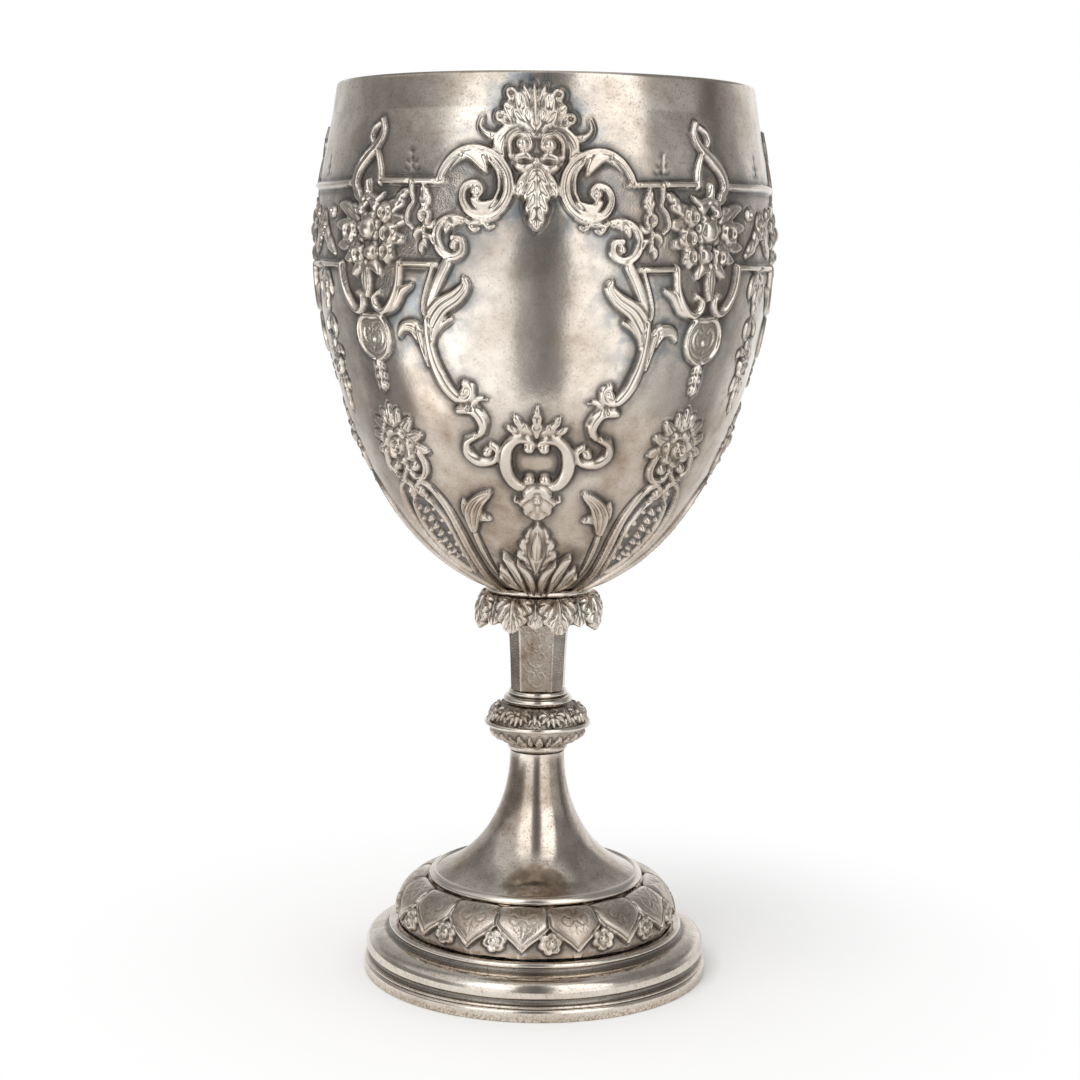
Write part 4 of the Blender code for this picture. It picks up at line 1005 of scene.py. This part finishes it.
def steel(name):
    """Plain turned steel, slightly dulled."""
    material, tree, shader, place = metal(name)
    clouds = noise(tree, place, 0.8, 4, 0.6)
    tree.links.new(mix(tree, ranged(tree, clouds, 0.4, 0.7), STEEL, DULL_STEEL), shader["Base Color"])
    tree.links.new(ranged(tree, clouds, 0.3, 0.7, 0.3, 0.5), shader["Roughness"])
    return material


bowl_silver = silver("bowl_silver", 0.42, 0.30, 0.11, speckle_above=252, brown_below=205)
chased_silver = silver("chased_silver", 0.60, 0.40, 0.13)
knop_silver = silver("knop_silver", 0.95, 0.5, 0.17)
stem_silver = silver("stem_silver", 0.62, 0.7, 0.10)
turned_silver = silver("turned_silver", 0.58, 0.55, 0.07)
foot_silver = silver("foot_silver", 0.26, 0.6, 0.06, brassy_below=3.4)
bead_silver = silver("bead_silver", 0.2, 0.2, 0.11)
fastener_steel = steel("fastener_steel")


# Pieces

ROUND = 256 if fine else 128


def bowl():
    """The raised bowl: relief outside, a rounded rim and a plain wall inside."""
    wall = spaced(bowl_wall(), BOWL_STEP)
    lengths = arc_lengths(wall)
    height, matt, tarnish_and_shade = bowl_fields(wall)
    plain = planished(azimuths(BOWL_COLUMNS), lengths[:, None]) - SUNK
    edges = np.clip(np.minimum(lengths - 1, lengths[-1] - 1 - lengths) / 10, 0, 1)[:, None]
    offsets = np.maximum(height + plain * edges, LEAST_WALL - WALL)
    bottom = [(2, base("bowl")), (BOWL_BASE_RADIUS - 2, base("bowl"))]
    rim_middle = (BOWL_RIM_RADIUS - RIM_THICKNESS / 2, top("bowl") - RIM_THICKNESS / 2)
    rim = arc(rim_middle, RIM_THICKNESS / 2, 20, 160, 9)
    lining = spaced(bowl_wall(), 3)
    inner = (lining - normals(lining) * WALL)[1:-1][::-1]
    inner = inner[inner[:, 1] < top("bowl") - 3 * RIM_THICKNESS]
    dish = 0.4
    floor = [(BOWL_BASE_RADIUS * share, inner[-1, 1] - dish * (1 - share)) for share in (0.8, 0.5, 0.1)]
    line = np.vstack([bottom, wall[:-2], rim, inner, floor])
    count = len(wall) - 2
    bare = ((len(bottom), len(line) - len(bottom) - count), (0, 0))
    fields = weathering(height, matt, tarnish_and_shade, lengths, wall[:, 0])
    fields = {key: np.pad(values[:count], bare) for key, values in fields.items()}
    piece = revolved("bowl_chased", line, BOWL_COLUMNS, np.pad(offsets[:count], bare), fields, closed=False)
    dress(piece, "bowl", bowl_silver)


def turned(name, node_name, line, material, sharp=35):
    """A plain turned piece, dirtier in its hollows and brighter on its edges."""
    line = spaced(np.vstack([line, line[:1]]), 0.25)[:-1]
    lengths = arc_lengths(line)
    weights = np.exp(-0.5 * ((lengths[:, None] - lengths[None, :]) / 0.9) ** 2)
    smooth = weights @ line / weights.sum(axis=1, keepdims=True)
    hollow = ((smooth - line) * normals(line)).sum(axis=1)[:, None]
    ends = np.clip(np.minimum(lengths, lengths[-1] - lengths) - 0.8, 0, 1)[:, None]
    fields = {"cavity": np.clip(hollow / 0.16, 0, 0.85) * ends, "wear": np.clip(-hollow / 0.2, 0, 0.9) * ends}
    piece = revolved(name, line, ROUND, fields=fields, sharp=sharp)
    dress(piece, node_name, material)


def foot_edge_ring():
    low, high, outer = base("foot_edge_ring"), top("foot_edge_ring"), reach("foot_edge_ring")
    inner = outer - 3.2
    fillet, edge = 0.3, 1.3
    line = np.vstack([
        [(inner, low)],
        arc((outer - fillet, low + fillet), fillet, -90, 0, 4),
        arc((outer - edge, high - edge), edge, 0, 90, 10),
        [(inner, high)],
    ])
    turned("foot_edge_band", "foot_edge_ring", line, foot_silver)


def foot_moulding():
    """The stepped foot: a fillet, a cove, a broad swell, a shelf and the small ring round the leaf band."""
    low, high = top("foot_edge_ring") + 0.05, top("foot_moulding")
    bottom = reach("foot_edge_ring") - 0.6
    ring_radius, half = reach("leaf_band") + 2.9, 1.05
    fillet = arc((bottom - 0.35, low + 0.45), 0.45, -40, 90, 8)
    outside = fillet
    for pulls, end, count in (
        (((-1, 0), (-0.35, -0.5)), (bottom - 1.4, low + 2.8), 14),
        (((0.55, 0.1), (0, -0.55)), (reach("foot_edge_ring") - 0.8, low + 4), 8),
        (((0, 0.80), (0.60, -0.06)), (ring_radius + 1.2, high - 2 * half - 1.1), 40),
        (((-0.5, 0.1), (0, -0.5)), (ring_radius - 0.35, high - 2 * half), 8),
    ):
        outside = np.vstack([outside, pulled(outside[-1], pulls, end, count)[1:]])
    ring = arc((ring_radius - half, high - half), half, -50, 90, 14)
    inner_top = ring_radius - 2 * half - 1.3
    inner = pulled((bottom - 1.9, low), ((0, 0.25), (0.25, -0.33)), (inner_top, high - 1.3), 16)
    line = np.vstack([outside, ring, [(inner_top, high)], inner[::-1]])
    turned("foot_steps", "foot_moulding", line, foot_silver)


def trumpet():
    low, high, edge = base("trumpet_foot"), top("trumpet_foot"), reach("trumpet_foot")
    flare = pulled((edge, low + 2), ((-0.46, 0.09), (0, -0.58)), (9.3, high), 90)
    outer = np.vstack([[(edge, low), (edge, low + 1)], flare])
    line = np.vstack([outer, (outer - normals(outer) * WALL)[::-1]])
    turned("trumpet", "trumpet_foot", line, turned_silver, sharp=50)


WIRE_LIP = 0.4  # how far the wire's worn lip laps up over the trumpet's edge


def trumpet_wire():
    low, high, seat = base("trumpet_edge_wire"), top("trumpet_edge_wire"), reach("trumpet_foot") + 0.3
    lip = high + WIRE_LIP
    foot = arc((seat + 1.2, low + 0.45), 0.42, -90, -10, 5)
    face = pulled((seat + 1.75, low + 0.5), ((0.1, 0.45), (0.45, 0.02)), (seat - 0.5, lip), 14)
    line = np.vstack([[(seat, low + 0.03)], foot, face, [(seat - 0.8, lip - 0.5), (seat, high - 0.2)]])
    turned("trumpet_wire", "trumpet_edge_wire", line, bead_silver)


ROD_HOLE = 2.8  # radius of the hole that the tie rod passes through
THROAT = 6.3  # radius of the hole in the collar and the frill under the bowl


def bead_line(radius, low, high, start=-90, end=90):
    """The rounded edge of a collar."""
    half = (high - low) / 2
    return arc((radius - half, low + half), half, start, end, 14)


def collars():
    for name, node_name, hole, material in (
        ("collar_below_knop", "lower_collar", ROD_HOLE, knop_silver),
        ("collar_above_knop", "upper_collar", ROD_HOLE, bead_silver),
        ("collar_under_bowl", "bowl_collar_ring", THROAT, bead_silver),
    ):
        low, high, outer = base(node_name), top(node_name), reach(node_name)
        edge = bead_line(outer, low, high)
        if node_name == "upper_collar":
            split = low + (high - low) * 0.55
            edge = np.vstack([bead_line(outer, low, split, -90, 70), bead_line(10, split, high, -60, 90)])
        line = np.vstack([[(hole, low)], edge, [(hole, high)]])
        turned(name, node_name, line, material)


def girdle():
    low, high, outer = base("knop_girdle_wire"), top("knop_girdle_wire"), reach("knop_girdle_wire")
    middle, wire, knop = (low + high) / 2, 0.9, reach("knop_lower")
    tongue = 0.3
    line = np.vstack([
        [(knop - 1.1, middle - tongue), (knop + 0.3, middle - tongue)],
        arc((outer - wire, middle), wire, -70, 70, 12),
        [(knop + 0.3, middle + tongue), (knop - 1.1, middle + tongue)],
    ])
    turned("knop_wire", "knop_girdle_wire", line, bead_silver)


SMALL_DRAWING_STEP = 0.15  # mm, for the ornament of the foot, knop, stem and frill


def repeated(draw, wall, repeats, columns, offset):
    """Ornament drawn once and repeated round a wall: its height, matting, tarnish and painted shade, and
    clear distance.
    """
    sector = 2 * math.pi / repeats
    half = math.degrees(sector) / 2
    sheet = drawn(draw, wall, -half - 2, half + 2, SMALL_DRAWING_STEP)
    azimuth = azimuths(columns)
    place = (azimuth - math.radians(offset) + sector / 2) % sector - sector / 2
    wobble = 0.12 * np.sin(5 * azimuth + 0.8) + 0.08 * np.sin(9 * azimuth)
    return sampled(sheet, place, arc_lengths(wall)[:, None] + wobble)


def chased(name, node_name, line, inner, repeats, draw, columns, offset, sunk, material):
    """A chased turned piece whose ornament repeats round it; inner closes its section."""
    wall = spaced(line, 0.22 if fine else 0.4)
    height, matt, tarnish_and_shade, _ = repeated(draw, wall, repeats, columns, offset)
    bare = ((0, len(inner)), (0, 0))
    fields = weathering(height, matt, tarnish_and_shade, arc_lengths(wall), wall[:, 0])
    fields = {key: np.pad(values, bare) for key, values in fields.items()}
    piece = revolved(name, np.vstack([wall, inner]), columns, np.pad(height - sunk, bare), fields)
    dress(piece, node_name, material)


BAND_TONGUES = 16
BAND_TURN = -5.0  # azimuth of one tongue, in degrees
BAND_SUNK = 0.35  # how far the band's ground lies inside the solid's surface
BAND_COLUMNS = 1440 if fine else 720


def band_relief(p):
    """Heart-shaped tongues hanging down side by side, with a rosette between their tips."""
    pitch = 360 / BAND_TONGUES
    gap = [(-8, -1), (8, -1), (8, 6), (4, 8), (0, 11), (-4, 8), (-8, 6)]
    for k in (-1, 0, 1):
        p.at((k + 0.5) * pitch).ground(gap, 0.12, 0.7, 0.3)
    heart = mirrored([(0, 3), (2.6, 5.6), (5.8, 8.2), (8.8, 11.4), (8.5, 15.4), (7.6, 19.4), (0, 21)])
    for k in (-1, 0, 1):
        p.at(k * pitch)
        p.dome(heart, 0.8, shoulder=3.6)
        p.matted(shrunk(heart, 12.4, 0.76), 0.5)
        for _ in p.halves():
            p.stroke([(0, 2.9), (2.6, 5.5), (5.7, 8), (8.7, 11.2), (8.5, 15)], 1.2, 1, taper=(1, 0.3))
            p.groove([(0.5, 13), (2.4, 11.4), (4.3, 12.8), (3.6, 15), (2.1, 14.2)], 0.7, 0.12)
            p.groove([(5.6, 17.6), (3.4, 16.6), (1.5, 17.8), (0.5, 15.4)], 0.7, 0.12)
            p.groove([(0.4, 9.8), (1.6, 9.2), (2.6, 10.2)], 0.6, 0.09)
        p.groove([(0, 7.8), (0, 11.6)], 0.6, 0.09)
    for k in (-1, 0, 1):
        p.at((k + 0.5) * pitch).rosette((0, 5.6), 4.4, 0.9, petals=6, turn=15)


def leaf_band():
    low, high, outer = base("leaf_band"), top("leaf_band"), reach("leaf_band")
    line = pulled((outer, low), ((0.2, 0.37), (0.7, 0)), (37.3, high), 90)
    flange = reach("trumpet_foot") - 3.2
    inside = (line - normals(line))[::-12]
    inner = np.vstack([[(36.6, high), (flange, high), (flange, high - 1)], inside[inside[:, 1] < high - 1.2]])
    chased(
        "foot_leaf_band", "leaf_band", line, inner,
        BAND_TONGUES, band_relief, BAND_COLUMNS, BAND_TURN, BAND_SUNK, chased_silver,
    )


KNOP_LEAVES = 8
KNOP_LOWER_LEAVES = 14
LEAF_TURN = 19.0  # azimuth of one leaf of the knop and of the frill, in degrees
KNOP_LOWER_TURN = 3.0
KNOP_SUNK = 0.2
KNOP_COLUMNS = 960 if fine else 480


def knop_upper_relief(p):
    """A dark ground with a bright palmette over each stretch of the wire, and small buds between them."""
    pitch = 360 / KNOP_LEAVES
    p.at(0).ground([(-9, -1), (9, -1), (9, 9), (-9, 9)], 0.15, 1, 0.5)
    for k in (-1, 1):
        p.at(k * pitch / 2)
        for _ in p.halves():
            p.blade([(0.4, 3.6), (1.6, 2.6), (2, 1)], 1.4, 0.5)
        p.blade([(0, 7), (0, 4.6), (0, 1.4)], 1.8, 0.5)
    p.at(0)
    for _ in p.halves():
        p.blade([(0.8, 5), (3.2, 5.4), (4.8, 4.2)], 1.7, 0.7)
        p.blade([(0.8, 4.6), (2.8, 3.6), (4, 2)], 1.9, 0.8)
        p.blade([(0.5, 4.2), (1.6, 2.6), (2, 0.8)], 1.8, 0.8)
        p.blade([(0.5, 5), (1.8, 6.4), (2.6, 7.4)], 1.3, 0.4)
    p.blade([(0, 5.4), (0, 3), (0, 0.5)], 2, 1)
    p.bead((0, 5.2), 0.9, 0.9)


def knop_lower_relief(p):
    """Short leaves that rise over the knop's underside."""
    pitch = 360 / KNOP_LOWER_LEAVES
    p.at(0).ground([(-9, -1), (9, -1), (9, 9), (-9, 9)], 0.1, 0.8, 0.5)
    for k in (-1, 0, 1):
        p.at((k + 0.5) * pitch).leaf([(0, 0.8), (0, 3.6), (0, 6.4)], 2, 0.5, lobes=2, base=0.7)
    for k in (-1, 0, 1):
        p.at(k * pitch).leaf([(0, 0.2), (0, 3.6), (0, 6.9)], 3.4, 0.7, lobes=3, base=0.7)


def knop():
    """Two chased cups that meet at the wire."""
    low, high, outer = base("knop_lower"), top("knop_lower"), reach("knop_lower")
    line = pulled((11.4, low), ((0.62, 0.2), (0, -0.62)), (outer, high), 50)
    inside, floor = outer - WALL, low + WALL
    inner = [(inside, high), (inside - 1.5, low + 2.6), (11, floor), (ROD_HOLE, floor), (ROD_HOLE, low)]
    chased(
        "knop_leaves_below", "knop_lower", line, inner,
        KNOP_LOWER_LEAVES, knop_lower_relief, KNOP_COLUMNS, KNOP_LOWER_TURN, KNOP_SUNK, knop_silver,
    )
    low, high, outer = base("knop_upper"), top("knop_upper"), reach("knop_upper")
    line = pulled((12.6, high), ((0.62, -0.2), (0, 0.62)), (outer, low), 50)[::-1]
    inside, roof = outer - WALL, high - WALL
    inner = [(ROD_HOLE, high), (ROD_HOLE, roof), (12.2, roof), (inside - 1.5, high - 2.6), (inside, low)]
    chased(
        "knop_leaves_above", "knop_upper", line, inner,
        KNOP_LEAVES, knop_upper_relief, KNOP_COLUMNS, LEAF_TURN, KNOP_SUNK, knop_silver,
    )


STEM_TURN = -4.6  # azimuth of one broad side's middle, in degrees
STEM_CORNER = 31.0  # degrees from a broad side's middle to its edge
STEM_EDGE = 10.3  # from the axis to the edge between a broad side and a cant, at the bottom
STEM_FLARE = 2.2  # how much further out that edge stands at the top
STEM_WAIST = 0.35  # how far it bends in halfway up
STEM_BORE = 7.2
# How much darker and duller the cants are painted than the broad sides: painted shade
CANT_PAINTED_SHADE = 0.6


def stem_engraving(p):
    """A light scroll of leaves engraved up the middle of a broad side."""
    scroll = [(0.2, 0), (2.4, 1.2), (3.2, 3.4), (2, 5.2), (0.8, 4.4), (1.2, 3.2)]
    for flip in (1, -1):
        p.at(0, flip)
        for s in (1.4, 8.2, 15):
            p.groove([(x, s + up) for x, up in scroll], 0.55, 0.02)
            p.groove([(2.6, s + 5), (3.8, s + 5.8), (4.4, s + 7.4)], 0.5, 0.015)
            p.groove([(0, s + 5.6), (1, s + 6.4), (0.6, s + 7.6)], 0.5, 0.015)


def stem():
    """The canted square tube, its corners softened by wear, its broad sides lightly engraved and its cants
    painted darker as shade.
    """
    low, high = base("stem_tube"), top("stem_tube")
    columns = 720
    share = np.linspace(0, 1, 200)[:, None]
    azimuth = azimuths(columns)
    turn = (np.degrees(azimuth) - STEM_TURN + 45) % 90 - 45
    side = math.cos(math.radians(STEM_CORNER)) / np.cos(np.radians(turn))
    cant = math.cos(math.radians(45 - STEM_CORNER)) / np.cos(np.radians(45 - np.abs(turn)))
    sharpness = 90
    section = -np.log(np.exp(-sharpness * side) + np.exp(-sharpness * cant)) / sharpness
    corner = STEM_EDGE + STEM_FLARE * share - STEM_WAIST * np.sin(math.pi * share)
    wall = np.hstack([np.full(share.shape, 10.0), low + (high - low) * share])
    height = repeated(stem_engraving, wall, 4, columns, STEM_TURN)[0]
    radius = np.vstack([corner * section + height, np.full((2, columns), STEM_BORE)])
    level = np.concatenate([wall[:, 1], [high, low]])[:, None]
    edge = np.exp(-(((np.abs(turn) - STEM_CORNER) / 0.9) ** 2))
    bare = ((0, 2), (0, 0))
    # The cants are painted darker and duller: painted shade on the faces that turn aside
    cant_shade = np.pad(np.broadcast_to(CANT_PAINTED_SHADE * (np.abs(turn) > STEM_CORNER), height.shape), bare)
    fields = {
        "cavity": np.pad(np.clip(-height / 0.3, 0, 0.7), bare),
        "wear": np.pad(np.broadcast_to(0.12 * edge, height.shape), bare),
        "matt": 0.4 * cant_shade,
        "tarnish_and_shade": cant_shade,
    }
    piece = grid_object("stem", wrapped(radius, azimuth, level), True, fields, sharp=40)
    dress(piece, "stem_tube", stem_silver)


FRILL_LEAVES = 8
FRILL_TIP_RADIUS = 20.2
FRILL_TOP_RADIUS = 17.4
FRILL_THICKNESS = 0.9
FRILL_SUNK = 0.7  # how far the ground between leaves lies inside the solid's surface
FRILL_NOTCH = 0.30  # the deepest notch between leaves, as a share of the frill's fall


def frill_relief(p):
    """One broad ruffled leaf in front of the narrow leaves that fill the gaps, drawn from the edge up."""
    pitch = 360 / FRILL_LEAVES
    for k in (-1, 1):
        p.at(k * pitch / 2).acanthus([(0, 16), (0, 9), (0, 3.2)], 12, 1, lobes=3, base=0.9, tooth=0.24)
    p.at(0).acanthus([(0, 17), (0, 8.8), (0, 1.5)], 16, 2, lobes=4, base=0.62, tooth=0.26, curl=0.8)


def around(values, columns):
    """Each value repeated all the way round."""
    return np.repeat(np.array(values, float)[:, None], columns, axis=1)


def frill():
    """Turned-down acanthus leaves, whose lower edge follows the outline of the leaves."""
    low, high, outer = base("leaf_frill"), top("leaf_frill"), reach("leaf_frill")
    swell = (outer - 1.2, low + (high - low) * 0.45)
    under = pulled((FRILL_TIP_RADIUS - 0.8, low), ((1, 0.3), (0, -0.4)), swell, 60)
    over = pulled(swell, ((0, 0.5), (0.55, -0.1)), (FRILL_TOP_RADIUS, high), 60)[1:]
    line = spaced(np.vstack([under, over]), SMALL_DRAWING_STEP)
    columns, rows = (1200, 80) if fine else (480, 40)
    height, matt, tarnish_and_shade, clear = repeated(frill_relief, line, FRILL_LEAVES, columns, LEAF_TURN)
    fields = weathering(height, matt, tarnish_and_shade, arc_lengths(line), line[:, 0])
    start = np.minimum(np.argmax(clear < -0.15, axis=0), int(FRILL_NOTCH * len(line))).astype(float)
    start = (np.roll(start, 1) + 2 * start + np.roll(start, -1)) / 4
    t = np.linspace(0, 1, rows)[:, None]
    row = start + t * (len(line) - 1 - start)
    place = np.broadcast_to(np.arange(columns), row.shape)
    lift = (looked_up(height, row, place) - FRILL_SUNK) * np.clip((1 - t) * 6, 0, 1)
    section = np.hstack([line, normals(line)])
    radius, level, out, up = (np.interp(row, np.arange(len(line)), column) for column in section.T)
    back = [int(rows * part) for part in (0.7, 0.4, 0.15, 0)]
    inward = FRILL_THICKNESS + FRILL_SUNK
    seat_radius, seat_level = ((THROAT, THROAT, 15.6), (high, high - 1.2, high - 1.2))
    radius = np.vstack([radius + out * lift, around(seat_radius, columns), (radius - out * inward)[back]])
    level = np.vstack([level + up * lift, around(seat_level, columns), (level - up * inward)[back]])
    bare = ((0, len(radius) - rows), (0, 0))
    fields = {key: np.pad(looked_up(values, row, place), bare) for key, values in fields.items()}
    # The frill's underside and seat are painted dark all over: painted shade under the leaves
    fields["cavity"][rows:] = 0.9
    piece = grid_object("frill", wrapped(radius, azimuths(columns), level), True, fields)
    dress(piece, "leaf_frill", chased_silver)


def fasteners():
    """The rod, boss, washer and nut inside keep their solids and get worn steel."""
    for name in ("bowl_boss", "tie_rod", "throat_washer", "rod_nut"):
        for slot in frame["nodes"][name].material_slots:
            slot.material = fastener_steel


foot_edge_ring()
foot_moulding()
leaf_band()
trumpet()
trumpet_wire()
collars()
girdle()
knop()
stem()
frill()
bowl()
fasteners()


# Floor, light and camera

FLOOR_RADIUS = 0.34
FLOOR_COLUMNS = 96
FLOOR_COLOUR = (0.93, 0.925, 0.92, 1)
WHITE = (1, 1, 1, 1)


def floor():
    """A pale round table that fades into the white background at its edge."""
    turn = 2 * math.pi * np.arange(FLOOR_COLUMNS) / FLOOR_COLUMNS
    rings = np.linspace(0.01, FLOOR_RADIUS, 24)
    vertices = [(0, 0, 0)] + [(r * math.cos(a), r * math.sin(a), 0) for r in rings for a in turn]
    faces = [(0, 1 + i, 1 + (i + 1) % FLOOR_COLUMNS) for i in range(FLOOR_COLUMNS)]
    for start in range(1, len(vertices) - FLOOR_COLUMNS, FLOOR_COLUMNS):
        outer = start + FLOOR_COLUMNS
        for i in range(FLOOR_COLUMNS):
            j = (i + 1) % FLOOR_COLUMNS
            faces.append((start + i, outer + i, outer + j, start + j))
    mesh = bpy.data.meshes.new("floor")
    mesh.from_pydata(vertices, [], faces)
    table = bpy.data.objects.new("floor", mesh)
    bpy.context.scene.collection.objects.link(table)
    material = bpy.data.materials.new("floor")
    material.use_nodes = True
    tree = material.node_tree
    shader = tree.nodes["Principled BSDF"]
    shader.inputs["Base Color"].default_value = FLOOR_COLOUR
    shader.inputs["Roughness"].default_value = 0.9
    shader.inputs["Specular IOR Level"].default_value = 0
    place = node(tree, "ShaderNodeTexCoord").outputs["Object"]
    far = node(tree, "ShaderNodeVectorMath", {0: place}, operation="LENGTH").outputs["Value"]
    fade = ranged(tree, far, FLOOR_RADIUS * 0.12, FLOOR_RADIUS * 0.60)
    seen = node(tree, "ShaderNodeLightPath").outputs["Is Camera Ray"]
    white = node(tree, "ShaderNodeEmission", {"Color": WHITE, "Strength": 1.0}).outputs[0]
    mixed = node(tree, "ShaderNodeMixShader", {0: times(tree, fade, seen), 1: shader.outputs[0], 2: white})
    tree.links.new(mixed.outputs[0], tree.nodes["Material Output"].inputs["Surface"])
    mesh.materials.append(material)


# The studio that the silver mirrors: azimuth in degrees and brightness, from behind round by the front
STUDIO_UNDER = (
    (-180, 0.95), (-152, 0.75), (-130, 0.45), (-110, 0.24), (-86, 0.30), (-78, 1.70), (-68, 2.0), (-54, 1.9),
    (-40, 1.35), (-20, 1.25), (-11, 0.46), (1, 0.24), (9, 0.34), (17, 1.50), (42, 1.30), (58, 0.75),
    (84, 0.50), (102, 0.22), (116, 0.40), (134, 0.85), (160, 1.0), (180, 0.95),
)
STUDIO_LOW = (
    (-180, 0.95), (-152, 0.75), (-130, 0.45), (-110, 0.26), (-62, 0.26), (-48, 0.55), (-42, 1.15),
    (-19, 1.15), (-10, 0.30), (1, 0.16), (9, 0.26), (17, 1.45), (44, 1.35), (58, 0.62), (84, 0.42),
    (100, 0.18), (116, 0.40), (134, 0.85), (160, 1.0), (180, 0.95),
)
STUDIO_HIGH = (
    (-180, 0.50), (-155, 0.40), (-130, 0.26), (-112, 0.36), (-98, 0.60), (-62, 0.70), (-52, 1.10),
    (-46, 1.70), (-18, 1.70), (-10, 0.26), (2, 0.16), (12, 0.30), (20, 1.80), (50, 1.80), (60, 0.30),
    (100, 0.26), (135, 0.26), (158, 0.40), (180, 0.50),
)
STUDIO_BRIGHTEST = 2.0
CEILING = 0.60
FLOOR_LEVEL = 0.80  # what lights everything but the silver's mirroring


def studio_round(tree, share, levels):
    """The studio's brightness by azimuth, as a share of the way round from behind."""
    ramp = node(tree, "ShaderNodeValToRGB", {0: share})
    ramp.color_ramp.interpolation = "EASE"
    stops = ramp.color_ramp.elements
    while len(stops) < len(levels):
        stops.new(0.5)
    for stop, (degrees, _) in zip(stops, levels):
        stop.position = degrees / 360 + 0.5
    for stop, (_, level) in zip(stops, levels):
        stop.color = (*(level / STUDIO_BRIGHTEST,) * 3, 1.0)
    return times(tree, ramp.outputs[0], STUDIO_BRIGHTEST)


def blend(tree, factor, first, second):
    return node(tree, "ShaderNodeMix", {0: factor, 2: first, 3: second}, data_type="FLOAT").outputs[0]


def world():
    """White behind the object, a plain level on the floor, and a soft studio in the silver."""
    sky = bpy.data.worlds.new("studio")
    bpy.context.scene.world = sky
    sky.use_nodes = True
    tree = sky.node_tree
    direction = node(tree, "ShaderNodeTexCoord").outputs["Generated"]
    x, y, up = node(tree, "ShaderNodeSeparateXYZ", {0: direction}).outputs
    azimuth = sums(tree, "ARCTAN2", x, times(tree, y, -1.0))
    share = plus(tree, sums(tree, "DIVIDE", azimuth, 2 * math.pi), 0.5)
    studio = (STUDIO_UNDER, STUDIO_LOW, STUDIO_HIGH)
    under, low, high = (studio_round(tree, share, levels) for levels in studio)
    level = blend(tree, ranged(tree, up, -0.24, -0.10), under, low)
    level = blend(tree, ranged(tree, up, 0.26, 0.42), level, high)
    level = blend(tree, ranged(tree, up, 0.84, 0.97), level, CEILING)
    path = node(tree, "ShaderNodeLightPath").outputs
    level = blend(tree, path["Is Glossy Ray"], FLOOR_LEVEL, level)
    level = blend(tree, path["Is Camera Ray"], level, 1.0)
    background = tree.nodes["Background"].inputs
    tree.links.new(level, background["Strength"])
    background["Color"].default_value = WHITE


LAMP_PLACE = (-0.55, -0.7, 1.35)
LAMP_TURN = -38
LAMP_TILT = 34
LAMP_SIZE = 0.9
LAMP_POWER = 9.0


def turned_by(degrees, axis):
    return Matrix.Rotation(math.radians(degrees), 4, axis)


def lamp():
    """A broad soft lamp up to the left, for the goblet's shadow on the floor."""
    light = bpy.data.lights.new("softbox", "AREA")
    light.shape = "DISK"
    light.size = LAMP_SIZE
    light.energy = LAMP_POWER
    holder = bpy.data.objects.new("softbox", light)
    aim = turned_by(LAMP_TURN, "Z") @ turned_by(LAMP_TILT, "X")
    holder.matrix_world = Matrix.Translation(LAMP_PLACE) @ aim
    holder.visible_glossy = False
    bpy.context.scene.collection.objects.link(holder)


CAMERA_PLACE = (0.0, -0.7195, 0.2478)
CAMERA_DOWN = 7.82
CAMERA_ROLL = 0.77
CAMERA_LENS = 71.2


def camera():
    lens = bpy.data.cameras.new("camera")
    lens.lens = CAMERA_LENS
    lens.sensor_width = 36.0
    lens.sensor_fit = "HORIZONTAL"
    lens.clip_start = 0.01
    holder = bpy.data.objects.new("camera", lens)
    tilt, roll = turned_by(90 - CAMERA_DOWN, "X"), turned_by(CAMERA_ROLL, "Z")
    holder.matrix_world = Matrix.Translation(CAMERA_PLACE) @ tilt @ roll
    bpy.context.scene.collection.objects.link(holder)
    bpy.context.scene.camera = holder


floor()
world()
lamp()
camera()
bpy.context.scene.view_settings.view_transform = "Standard"
